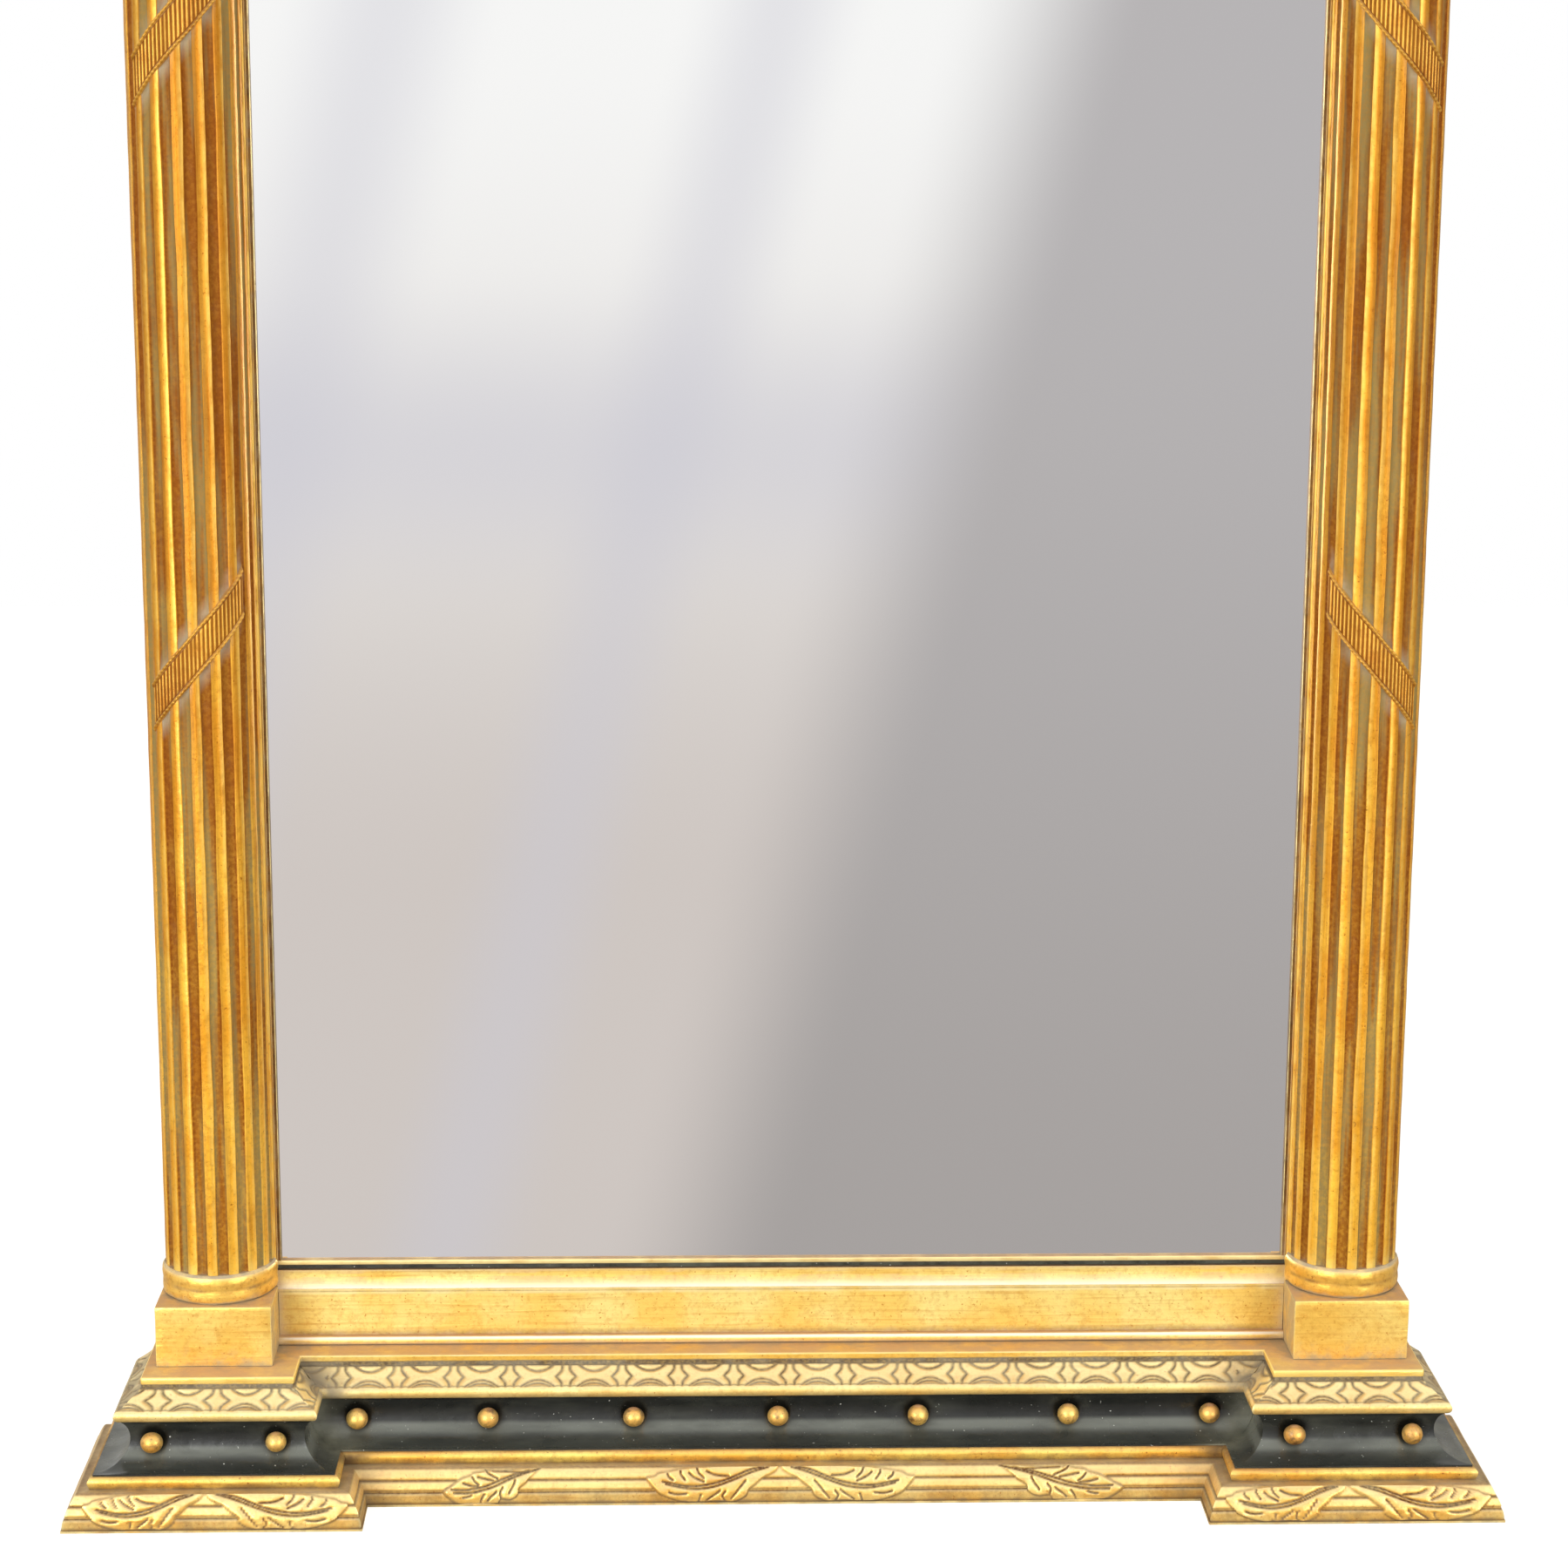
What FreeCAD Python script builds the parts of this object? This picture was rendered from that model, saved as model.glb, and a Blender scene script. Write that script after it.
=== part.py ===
"""Gilt pier mirror with fluted half columns, on a breakfront base and under a matching cornice.

Millimetres. X runs along the width, Y from the front (negative) to the wall side, Z up.
The origin is the middle of the bounding box, on the plane that the base stands on.

While the pieces are made, the wall plane is y = 0. Every finished piece is then moved by the
same distance, so that the origin lies in the middle of the depth. A reach is a distance in
front of a line: of the ledge's edge on the mouldings, of the wall plane on the frame.
"""
import FreeCAD, Part

import math
import os

from FreeCAD import Matrix, Vector

# Whole object
overall_width = 1000.0
overall_height = 2030.0
block_depth = 84.4
centre_setback = 40.4
block_width = 107.0
overrun = 5.0
fit_clearance = 0.2

# Mouldings of the base, from the floor up, with their reach
leaf_height = 24.4
leaf_reach = 50.0
leaf_top_reach = 39.5
leaf_back_reach = 30.0
leaf_fillet = 1.5
leaf_band_count = 3
leaf_band_crown = 1.3
bead_height = 8.8
bead_reach = 32.5
bead_back_reach = 20.0
hollow_height = 33.2
hollow_foot_reach = 30.0
hollow_lip = 1.2
hollow_deep_reach = 7.3
hollow_top_reach = 13.3
hollow_deep_share = 0.5
core_setback = 4.0
lattice_bead_height = 8.4
lattice_bead_reach = 17.1
lattice_foot_reach = 14.2
lattice_height = 10.1
lattice_top_reach = 0.3
lattice_sag = 0.5
quirk_height = 2.9
quirk_depth = 1.5
ledge_thickness = 5.5

# Balls in the hollow
ball_diameter = 15.0
ball_gap = 0.1
ball_rise_share = 0.55
ball_rim_count = 4
centre_ball_edge = 40.0
centre_ball_count = 7
block_ball_edge = 11.0
block_ball_count = 2
peg_diameter = 4.0
peg_length = 7.0
turned_sides = 10

# Frame behind the columns
frame_thickness = 20.0
column_inset = 49.0
sight_inset = 39.5
rail_height = 53.7
rail_face_setback = 4.0
tenon_length = 22.0
tenon_thickness = 6.0
tenon_shoulder = 6.0
post_tenon_width = 40.0
post_tenon_thickness = 10.0
post_tenon_length = 30.0
post_tenon_shoulder = 8.0
glass_setback = 8.0
glass_rebate = 8.0
board_rebate = 20.0

# Fascia, cove and slip round the glass
fascia_height = 38.4
fascia_bead_height = 6.4
fascia_bead_reach = 6.0
cove_fillet = 2.2
cove_step = 0.8
cove_lip = 0.9
cove_sag = 1.4
slip_width = 3.3
slip_nose = 3.5
slip_flange = 1.0
slip_flange_depth = 5.5
slip_bottom_gap = 3.5
plate_thickness = 4.0
plate_edge_gap = 0.5

# Backboards
backboard_count = 5
backboard_gap = 1.0
backboard_clearance = 0.3
backboard_thickness = 7.4

# Plinth blocks, rings and fluted columns
plinth_width = 81.6
plinth_height = 44.0
plinth_depth = 44.4
ring_height = 21.0
ring_radius = 41.0
ring_edge_radius = 38.4
ring_edge_height = 3.0
ring_valley_radius = 39.8
ring_valley_height = 4.0
ring_lower_share = 0.44
column_radius = 38.2
flute_count = 8
flute_width = 7.4
flute_depth = 2.8

# Ribbons that wind across the columns
ribbon_count = 3
ribbon_spacing = 417.0
ribbon_height = 33.0
ribbon_climb = 133.0
ribbon_half_turn = 60.0
ribbon_thickness = 1.0
ribbon_cord_width = 3.6
ribbon_cord_thickness = 2.1
ribbon_glue_line = 0.1
flute_end_cover = 1.0

# Cut brads in the backboards
nail_width = 2.4
nail_length = 16.0
nail_end_share = 0.2

# Strap hangers on the back of the stiles, with their countersunk screws and flat rings
screw_diameter = 3.4
screw_length = 15.0
screw_head_diameter = 6.4
screw_head_height = 1.5
hanger_height = 1480.0
strap_length = 52.0
strap_thickness = 1.6
strap_corner = 4.0
strap_screw_shares = (0.24, 0.84)
ring_bar_height = 3.2
ring_bar_thickness = 2.4
ring_running_clearance = 0.08
ring_side_play = 1.0
knuckle_wall = 1.6
ring_bar_length = 20.0
ring_corner_radius = 5.0

# Places that follow from the sizes above
ledge_half_width = overall_width / 2 - leaf_reach
break_half_width = ledge_half_width - block_width
centre_depth = block_depth - centre_setback
centre_ball_pitch = 2 * (break_half_width - centre_ball_edge) / (centre_ball_count - 1)
block_ball_pitch = (block_width - 2 * block_ball_edge) / (block_ball_count - 1)
bead_top = leaf_height + bead_height
hollow_top = bead_top + hollow_height
lattice_foot = hollow_top + lattice_bead_height
lattice_top = lattice_foot + lattice_height
ledge_under = lattice_top + quirk_height
base_height = ledge_under + ledge_thickness
frame_top = overall_height - base_height
plinth_top = base_height + plinth_height
ring_top = plinth_top + ring_height
shaft_top = overall_height - ring_top
column_centre = ledge_half_width - column_inset
sight_half_width = column_centre - sight_inset
stile_outer = column_centre + column_radius
rail_top = base_height + rail_height
rail_front = frame_thickness - rail_face_setback
glass_front = frame_thickness - glass_setback
lip_back = glass_front + slip_flange
board_foot = rail_top - board_rebate
sight_bottom = rail_top + slip_bottom_gap + slip_width
knuckle_bore = math.hypot(ring_bar_height, ring_bar_thickness) / 2 + ring_running_clearance
knuckle_radius = knuckle_bore + knuckle_wall
knuckle_axis = strap_thickness + knuckle_bore
strap_width = ring_bar_length - 2 * ring_side_play
back_reach = knuckle_axis + knuckle_radius
front_reach = block_depth + leaf_reach
depth_shift = (front_reach - back_reach) / 2

UP = Vector(0, 0, 1)
RIGHT = Vector(1, 0, 0)
TO_WALL = Vector(0, 1, 0)

os.makedirs("parts", exist_ok=True)


def write(name, shape):
    """Moves a finished piece to the part's own frame and writes its STEP file."""
    placed = shape.copy()
    placed.translate(TO_WALL * depth_shift)
    placed.exportStep("parts/" + name + ".step")


def box(x0, x1, y0, y1, z0, z1):
    """A square-edged block between two corners."""
    return Part.makeBox(x1 - x0, y1 - y0, z1 - z0, Vector(x0, y0, z0))


def outline(start, moves):
    """A flat face in the XZ plane. A move is (end,) for a line or (middle, end) for an arc."""
    here = Vector(start[0], 0, start[1])
    edges = []
    for move in moves:
        points = [Vector(x, 0, z) for x, z in move]
        if len(points) == 2:
            edges.append(Part.Arc(here, points[0], points[1]).toShape())
        else:
            edges.append(Part.LineSegment(here, points[0]).toShape())
        here = points[-1]
    return Part.Face(Part.Wire(edges))


def in_x(shape):
    """The mirror image on the other side of the middle plane."""
    return shape.mirror(Vector(0, 0, 0), RIGHT)


def in_z(shape):
    """The mirror image at the top of the object."""
    return shape.mirror(UP * (overall_height / 2), UP)


def placed_along(shape, direction, start):
    """The shape turned so that its own Y runs along a level direction, and moved to start."""
    turn = math.atan2(direction.y, direction.x) - math.pi / 2
    placing = Matrix()
    placing.rotateZ(turn)
    placing.move(start)
    result = shape.copy()
    result.Placement = FreeCAD.Placement(placing)
    return result


def board(reach, z0, z1):
    """A board or core with the breakfront plan, standing out by reach from the ledge."""
    outer = ledge_half_width + reach
    inner = break_half_width - reach
    block_front = -(block_depth + reach)
    centre_front = -(centre_depth + reach)
    corners = [(-outer, 0), (-outer, block_front), (-inner, block_front), (-inner, centre_front),
               (inner, centre_front), (inner, block_front), (outer, block_front), (outer, 0)]
    points = [Vector(x, y, z0) for x, y in corners]
    plan = Part.Face(Part.makePolygon(points + points[:1]))
    return plan.extrude(UP * (z1 - z0))


def run(profile, start, end, start_grow, end_grow):
    """One straight length of moulding from start to end, mitred at both ends.

    The profile's X is its reach out from the line start-end. Each end grows (1), shrinks (-1)
    or stays square (0) with the reach, which cuts the mitre.
    """
    direction = Vector(end[0] - start[0], end[1] - start[1], 0)
    length = direction.Length
    limits = profile.BoundBox
    low = limits.XMin - overrun
    high = limits.XMax + overrun
    bar = profile.extrude(TO_WALL * (length + 2 * high))
    bar.translate(TO_WALL * -high)
    corners = [(low, -start_grow * low), (high, -start_grow * high),
               (high, length + end_grow * high), (low, length + end_grow * low)]
    points = [Vector(x, y, limits.ZMin - overrun) for x, y in corners]
    wedge = Part.Face(Part.makePolygon(points + points[:1]))
    wedge = wedge.extrude(UP * (limits.ZLength + 2 * overrun))
    return placed_along(bar.common(wedge), direction, Vector(start[0], start[1], 0))


def centre_run(profile):
    """The length of moulding along the middle, between the two blocks."""
    left = (-break_half_width, -centre_depth)
    right = (break_half_width, -centre_depth)
    return run(profile, left, right, -1, -1)


def block_run(profile):
    """The moulding round the left block: outer side, front and inner side in one piece."""
    wall = (-ledge_half_width, 0)
    outer = (-ledge_half_width, -block_depth)
    inner = (-break_half_width, -block_depth)
    corner = (-break_half_width, -centre_depth)
    side = run(profile, wall, outer, 0, 1)
    front = run(profile, outer, inner, 1, 1)
    inside = run(profile, inner, corner, 1, -1)
    return side.fuse([front, inside]).removeSplitter()


def leaf_profile():
    """Outermost moulding: a fillet at the floor, and shallow bands up to a quarter round."""
    low = (leaf_reach - leaf_band_crown, leaf_fillet)
    fall = low[0] - leaf_top_reach
    rise = leaf_height - leaf_fillet
    moves = [((leaf_reach, 0),), ((leaf_reach, leaf_fillet),), (low,)]
    for band in range(1, leaf_band_count + 1):
        share = band / leaf_band_count
        turned = math.cos(share * math.pi / 2)
        high = (leaf_top_reach + fall * turned, leaf_fillet + rise * share)
        crown = ((low[0] + high[0]) / 2 + leaf_band_crown, (low[1] + high[1]) / 2)
        moves.append((crown, high))
        low = high
    moves.append(((leaf_back_reach, leaf_height),))
    moves.append(((leaf_back_reach, 0),))
    return outline((leaf_back_reach, 0), moves)


def bead_profile():
    """Half-round bead that lies on the outer board in front of the hollow."""
    radius = bead_height / 2
    nose = bead_reach - radius
    moves = [((nose, leaf_height),), ((bead_reach, leaf_height + radius), (nose, bead_top)),
             ((bead_back_reach, bead_top),), ((bead_back_reach, leaf_height),)]
    return outline((bead_back_reach, leaf_height), moves)


def hollow_arc():
    """Foot, deepest point and top of the hollow's arc, as (reach, height)."""
    foot = (hollow_foot_reach, bead_top + hollow_lip)
    deep = (hollow_deep_reach, bead_top + hollow_height * hollow_deep_share)
    return foot, deep, (hollow_top_reach, hollow_top)


def hollow_profile():
    """Ebonised hollow with a flared foot that lies on the bead."""
    back = -core_setback
    foot, deep, top = hollow_arc()
    moves = [((bead_back_reach, leaf_height),), ((bead_back_reach, bead_top),),
             ((hollow_foot_reach, bead_top),), (foot,), (deep, top),
             ((back, hollow_top),), ((back, leaf_height),)]
    return outline((back, leaf_height), moves)


def lattice_profile():
    """Sloping face for the carved lattice, with its bead below and a quirk above."""
    back = -core_setback
    bead_middle = (lattice_bead_reach, hollow_top + lattice_bead_height / 2)
    slope_reach = (lattice_foot_reach + lattice_top_reach) / 2 - lattice_sag
    slope_rise = lattice_foot + lattice_height / 2 - lattice_sag
    moves = [((lattice_foot_reach, hollow_top),),
             (bead_middle, (lattice_foot_reach, lattice_foot)),
             ((slope_reach, slope_rise), (lattice_top_reach, lattice_top)),
             ((-quirk_depth, lattice_top),), ((-quirk_depth, ledge_under),),
             ((back, ledge_under),), ((back, hollow_top),)]
    return outline((back, hollow_top), moves)


def turned(stations, middle):
    """A small turned piece, in flats to keep its mesh light.

    A station is a place along Y from the middle, with the radius there.
    """
    step = 2 * math.pi / turned_sides
    turns = [side * step for side in range(turned_sides)]
    rims = [[middle + Vector(radius * math.cos(turn), along, radius * math.sin(turn))
             for turn in turns] for along, radius in stations]
    flats = [rims[0], rims[-1]]
    for near, far in zip(rims, rims[1:]):
        for side in range(turned_sides):
            flats.append([near[side - 1], near[side], far[side], far[side - 1]])
    faces = [Part.Face(Part.makePolygon(corners + corners[:1])) for corners in flats]
    return Part.Solid(Part.Shell(faces))


def ball_middle(x, depth):
    """Middle of a ball that rests in the hollow at x, where the ledge is depth from the wall."""
    height = bead_top + hollow_height * ball_rise_share
    arc = Part.Arc(*[Vector(*point) for point in hollow_arc()]).toShape().Curve
    arm = arc.Radius - ball_diameter / 2 - ball_gap
    reach = arc.Center.x - math.sqrt(arm ** 2 - (height - arc.Center.y) ** 2)
    return Vector(x, -(depth + reach), height)


def spread(count, pitch):
    """Offsets of equal steps about a middle."""
    return [(index - (count - 1) / 2) * pitch for index in range(count)]


def ball_middles():
    """Middles of all the balls in the base, blocks first."""
    block_middle = ledge_half_width - block_width / 2
    middles = []
    for side in (-1, 1):
        for offset in spread(block_ball_count, block_ball_pitch):
            middles.append(ball_middle(side * block_middle + offset, block_depth))
    for offset in spread(centre_ball_count, centre_ball_pitch):
        middles.append(ball_middle(offset, centre_depth))
    return middles


def peg_stations(clearance):
    """The turned peg behind a ball, from inside the ball to its end."""
    radius = peg_diameter / 2 + clearance
    start = ball_diameter / 2 * math.cos(math.pi / ball_rim_count)
    return [(start, radius), (ball_diameter / 2 + peg_length + clearance, radius)]


def ball(middle):
    """A ball with its peg, turned in one piece."""
    stations = []
    for rim in range(ball_rim_count):
        angle = math.pi * (rim + 1 / 2) / ball_rim_count
        stations.append((-ball_diameter / 2 * math.cos(angle), ball_diameter / 2 * math.sin(angle)))
    return turned(stations + peg_stations(0), middle)


def post_tenon(clearance):
    """Stub tenon at the foot of the left stile, or with a clearance its mortise."""
    outer = -(stile_outer - post_tenon_shoulder) - clearance
    middle = -frame_thickness / 2
    half = post_tenon_thickness / 2 + clearance
    return box(outer, outer + post_tenon_width + 2 * clearance, middle - half, middle + half,
               base_height - post_tenon_length - clearance, base_height)


def base_pieces():
    """All pieces of the base, by name. The cornice is the same set upside down."""
    mortise = post_tenon(fit_clearance)
    mortises = [mortise, in_x(mortise)]
    middles = ball_middles()
    peg_holes = [turned(peg_stations(fit_clearance / 2), middle) for middle in middles]
    pieces = {
        "outer_board": board(leaf_back_reach, 0, leaf_height),
        "core": board(-core_setback, leaf_height, ledge_under).cut(mortises),
        "ledge": board(0, ledge_under, base_height).cut(mortises),
        "balls": Part.makeCompound([ball(middle) for middle in middles]),
    }
    mouldings = {"leaf_moulding": leaf_profile(), "hollow": hollow_profile(),
                 "lattice": lattice_profile()}
    for name, profile in mouldings.items():
        left = block_run(profile)
        lengths = {"_left": left, "_centre": centre_run(profile), "_right": in_x(left)}
        for place, length in lengths.items():
            pieces[name + place] = length.cut(peg_holes) if name == "hollow" else length
    left_bead = block_run(bead_profile())
    beads = [left_bead, centre_run(bead_profile()), in_x(left_bead)]
    pieces["bead"] = Part.makeCompound(beads)
    return pieces


def rail_tenon(clearance):
    """Stub tenon at the left end of the bottom rail, or its mortise with a clearance."""
    middle = -rail_front / 2
    half = tenon_thickness / 2 + clearance
    foot = base_height + tenon_shoulder - clearance
    head = board_foot - tenon_shoulder + clearance
    end = -(sight_half_width + tenon_length + clearance)
    return box(end, -sight_half_width, middle - half, middle + half, foot, head)


def nail(x, z, clearance):
    """A cut brad driven in flush from the back, or with a clearance its hole."""
    half = nail_width / 2 + clearance
    return box(x - half, x + half, -nail_length - clearance, 0, z - half, z + half)


def backboard_feet():
    """Height of one backboard, and the foot of each."""
    low = board_foot + backboard_clearance
    clear = overall_height - 2 * low - (backboard_count - 1) * backboard_gap
    height = clear / backboard_count
    return height, [low + index * (height + backboard_gap) for index in range(backboard_count)]


def board_nails(clearance):
    """Brads at both ends of every backboard, or their holes."""
    height, feet = backboard_feet()
    landing = sight_half_width + (glass_rebate + board_rebate) / 2
    nails = []
    for foot in feet:
        for share in (nail_end_share, 1 - nail_end_share):
            for side in (-1, 1):
                nails.append(nail(side * landing, foot + share * height, clearance))
    return nails


def strap_screws(clearance):
    """Countersunk screws through the left strap, or with a clearance their holes."""
    shank = screw_diameter / 2 + clearance
    head = screw_head_diameter / 2 + clearance
    stations = [(-screw_length - clearance, shank), (-screw_head_height, shank), (0, head)]
    places = [hanger_height - share * strap_length for share in strap_screw_shares]
    return [turned(stations, Vector(-column_centre, strap_thickness + clearance, height))
            for height in places]


def left_stile():
    """Upright of the frame behind the left column."""
    body = box(-stile_outer, -sight_half_width, -frame_thickness, 0, base_height, frame_top)
    low = rail_top - glass_rebate
    inner = -sight_half_width + overrun
    glass = box(-sight_half_width - glass_rebate, inner, -lip_back, overrun,
                low, overall_height - low)
    boards = box(-sight_half_width - board_rebate, inner, -backboard_thickness, overrun,
                 board_foot, overall_height - board_foot)
    mortise = rail_tenon(fit_clearance)
    cuts = [glass, boards, mortise, in_z(mortise)]
    cuts += board_nails(fit_clearance) + strap_screws(fit_clearance)
    tenon = post_tenon(0)
    return body.fuse([tenon, in_z(tenon)]).removeSplitter().cut(cuts)


def bottom_rail():
    """Bottom rail, set back behind the fascia, with a lip in front of the glass."""
    half = sight_half_width
    body = box(-half, half, -rail_front, 0, base_height, rail_top)
    wide = half + overrun
    glass = box(-wide, wide, -lip_back, overrun, rail_top - glass_rebate, rail_top + overrun)
    boards = box(-wide, wide, -backboard_thickness, overrun, board_foot, rail_top + overrun)
    tenon = rail_tenon(0)
    return body.cut([glass, boards]).fuse([tenon, in_x(tenon)]).removeSplitter()


def across(profile, half_width):
    """A straight moulding along the width, its reach counted from the wall plane."""
    bar = profile.extrude(TO_WALL * (2 * half_width))
    return placed_along(bar, RIGHT, RIGHT * -half_width)


def bottom_fascia():
    """Flat gilt board on the rail between the plinth blocks, with a bead along its foot."""
    foot = base_height
    bead = foot + fascia_bead_height
    head = foot + fascia_height
    reach = frame_thickness + fascia_bead_reach
    nose = reach - fascia_bead_height / 2
    moves = [((nose, foot),), ((reach, (foot + bead) / 2), (nose, bead)),
             ((frame_thickness, bead),), ((frame_thickness, head),), ((rail_front, head),),
             ((rail_front, foot),)]
    return across(outline((rail_front, foot), moves), column_centre - plinth_width / 2)


def bottom_cove():
    """Small hollow moulding between the fascia and the dark quirk under the slip."""
    foot = base_height + fascia_height
    front = frame_thickness
    start = (front - cove_step, foot + cove_fillet)
    lip = (rail_front + cove_lip, rail_top)
    middle = ((start[0] + lip[0]) / 2 - cove_sag, (start[1] + lip[1]) / 2 - cove_sag)
    moves = [((front, foot),), ((front, start[1]),), (start,), (middle, lip),
             ((rail_front, rail_top),), ((rail_front, foot),)]
    return across(outline((rail_front, foot), moves), sight_half_width)


def bottom_slip():
    """Slip along the foot of the glass: a nose over a dark gap, and a flange behind the lip."""
    half = sight_half_width
    nose = box(-half, half, -glass_front - slip_nose, -glass_front,
               sight_bottom - slip_width, sight_bottom)
    flange = box(-half, half, -lip_back, -glass_front, rail_top - slip_flange_depth, sight_bottom)
    return nose.fuse(flange).removeSplitter()


def left_slip():
    """Slip down the left side of the glass, between the bottom and the top slip."""
    span = (sight_bottom, overall_height - sight_bottom)
    inner = -sight_half_width + slip_width
    nose = box(-sight_half_width, inner, -glass_front - slip_nose, -glass_front, *span)
    flange = box(-sight_half_width - slip_flange_depth, inner, -lip_back, -glass_front, *span)
    return nose.fuse(flange).removeSplitter()


def mirror_plate():
    """Silvered glass plate in the rebate of the frame."""
    half = sight_half_width + glass_rebate - plate_edge_gap
    foot = rail_top - glass_rebate + plate_edge_gap
    back = -(glass_front - plate_thickness)
    return box(-half, half, -glass_front, back, foot, overall_height - foot)


def backboards():
    """Horizontal backboards in the wide rebate, close behind the plate."""
    half = sight_half_width + board_rebate - backboard_clearance
    height, feet = backboard_feet()
    holes = board_nails(fit_clearance)
    boards = [box(-half, half, -backboard_thickness, 0, foot, foot + height) for foot in feet]
    return Part.makeCompound([one.cut(holes) for one in boards])


def left_plinth():
    """Square block under the left column."""
    half = plinth_width / 2
    return box(-column_centre - half, -column_centre + half, -frame_thickness - plinth_depth,
               -frame_thickness, base_height, plinth_top)


def left_ring():
    """Half ring at the foot of the left column, with a shallow valley round it."""
    valley = plinth_top + ring_height * ring_lower_share
    half = ring_valley_height / 2
    moves = [((ring_edge_radius, plinth_top),), ((ring_radius, plinth_top + ring_edge_height),),
             ((ring_radius, valley - half),), ((ring_valley_radius, valley),),
             ((ring_radius, valley + half),), ((ring_radius, ring_top - ring_edge_height),),
             ((ring_edge_radius, ring_top),), ((0, ring_top),), ((0, plinth_top),)]
    half_ring = outline((0, plinth_top), moves).revolve(Vector(0, 0, 0), UP, -180)
    half_ring.translate(Vector(-column_centre, -frame_thickness, 0))
    return half_ring


def ribbon_middles():
    """Heights at which the ribbons cross the front of the column."""
    return [overall_height / 2 + offset for offset in spread(ribbon_count, ribbon_spacing)]


def flute_spans(angle):
    """Stretches of one flute: whole beyond the ribbons' ends, else stopped under each ribbon."""
    if abs(angle) > ribbon_half_turn:
        return [(ring_top - overrun, shaft_top + overrun)]
    edge_rise = ribbon_climb * flute_width / 2 / (math.pi * column_radius)
    half_cover = ribbon_height / 2 - edge_rise - flute_end_cover
    spans = []
    low = ring_top - overrun
    for middle in ribbon_middles():
        crossing = middle + ribbon_climb * angle / 180
        spans.append((low, crossing - half_cover))
        low = crossing + half_cover
    spans.append((low, shaft_top + overrun))
    return spans


def flutes():
    """Tools that cut the flutes of the left column."""
    radius = (flute_width ** 2 / 4 + flute_depth ** 2) / (2 * flute_depth)
    arm = column_radius - flute_depth + radius
    pitch = 180 / flute_count
    tools = []
    for offset in spread(flute_count, pitch):
        turn = math.radians(offset)
        x = -column_centre + arm * math.sin(turn)
        y = -frame_thickness - arm * math.cos(turn)
        for low, high in flute_spans(offset):
            tools.append(Part.makeCylinder(radius, high - low, Vector(x, y, low), UP))
    return tools


def left_column():
    """Half-round fluted shaft of the left column, planted on the stile."""
    middle = Vector(-column_centre, -frame_thickness, ring_top)
    shaft = Part.makeCylinder(column_radius, shaft_top - ring_top, middle, UP, 180)
    shaft.rotate(middle, UP, 180)
    return shaft.cut(flutes())


def ribbon_profile():
    """Section of a ribbon: a thin web with a raised cord along each edge."""
    half = ribbon_height / 2
    cord = half - ribbon_cord_width
    web = column_radius + ribbon_thickness
    crown = column_radius + ribbon_cord_thickness
    inner = column_radius + ribbon_glue_line
    moves = [((crown, -half),), ((crown, -cord),), ((web, -cord),), ((web, cord),),
             ((crown, cord),), ((crown, half),), ((inner, half),), ((inner, -half),)]
    return outline((inner, -half), moves)


def left_ribbons():
    """The ribbons of the left column, which climb towards the glass and end short of its sides."""
    half_climb = ribbon_climb * ribbon_half_turn / 180
    helix = Part.makeHelix(2 * ribbon_climb, 2 * half_climb, column_radius)
    sweep = Part.Wire(helix).makePipeShell([ribbon_profile().OuterWire], True, True)
    sweep.rotate(Vector(0, 0, 0), UP, 270 - ribbon_half_turn)
    ribbons = []
    for middle in ribbon_middles():
        ribbon = sweep.copy()
        ribbon.translate(Vector(-column_centre, -frame_thickness, middle - half_climb))
        ribbons.append(ribbon)
    return Part.makeCompound(ribbons)


def left_strap():
    """Brass strap on the back of the left stile, rolled at its top into a knuckle."""
    low = hanger_height - strap_length
    side = -column_centre - strap_width / 2
    plate = box(side, side + strap_width, 0, strap_thickness, low, hanger_height)
    corners = [edge for edge in plate.Edges
               if abs(edge.CenterOfMass.z - low) < fit_clearance
               and edge.Length < strap_thickness + fit_clearance]
    plate = plate.makeFillet(strap_corner, corners)
    axle = Vector(side, knuckle_axis, hanger_height)
    roll = Part.makeCylinder(knuckle_radius, strap_width, axle, RIGHT)
    bore = Part.makeCylinder(knuckle_bore, strap_width, axle, RIGHT)
    strap = plate.fuse(roll).removeSplitter()
    return strap.cut([bore] + strap_screws(fit_clearance / 2))


def ring_plan(grow):
    """Outline of a hanging ring that is grow larger all round than the middle of its bar."""
    half = ring_bar_length / 2
    low = -ring_corner_radius
    corner = ring_corner_radius + grow
    wide = half + corner
    slant = corner * math.sqrt(1 / 2)
    moves = [((half, grow),), ((half + slant, low + slant), (wide, low)),
             ((0, low - wide), (-wide, low)), ((-half - slant, low + slant), (-half, grow))]
    return outline((-half, grow), moves)


def left_hanging_ring():
    """Flat ring in the knuckle: a straight bar, two corners and a half round."""
    half = ring_bar_height / 2
    plan = ring_plan(half).cut(ring_plan(-half))
    ring = plan.extrude(TO_WALL * ring_bar_thickness)
    ring.translate(Vector(-column_centre, knuckle_axis - ring_bar_thickness / 2, hanger_height))
    return ring


def both_sides(left_pieces):
    """Separate pieces of the left side together with their mirror images, for one node."""
    return Part.makeCompound(left_pieces + [in_x(piece) for piece in left_pieces])


def write_pair(name, left):
    """Writes a left piece and its mirror image on the right."""
    write(name + "_left", left)
    write(name + "_right", in_x(left))


def write_low_and_high(name, low):
    """Writes a piece at the foot of the frame and its mirror image at the head."""
    write("bottom_" + name, low)
    write("top_" + name, in_z(low))


for piece_name, piece in base_pieces().items():
    write("base_" + piece_name, piece)
    write("cornice_" + piece_name, in_z(piece))

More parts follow.
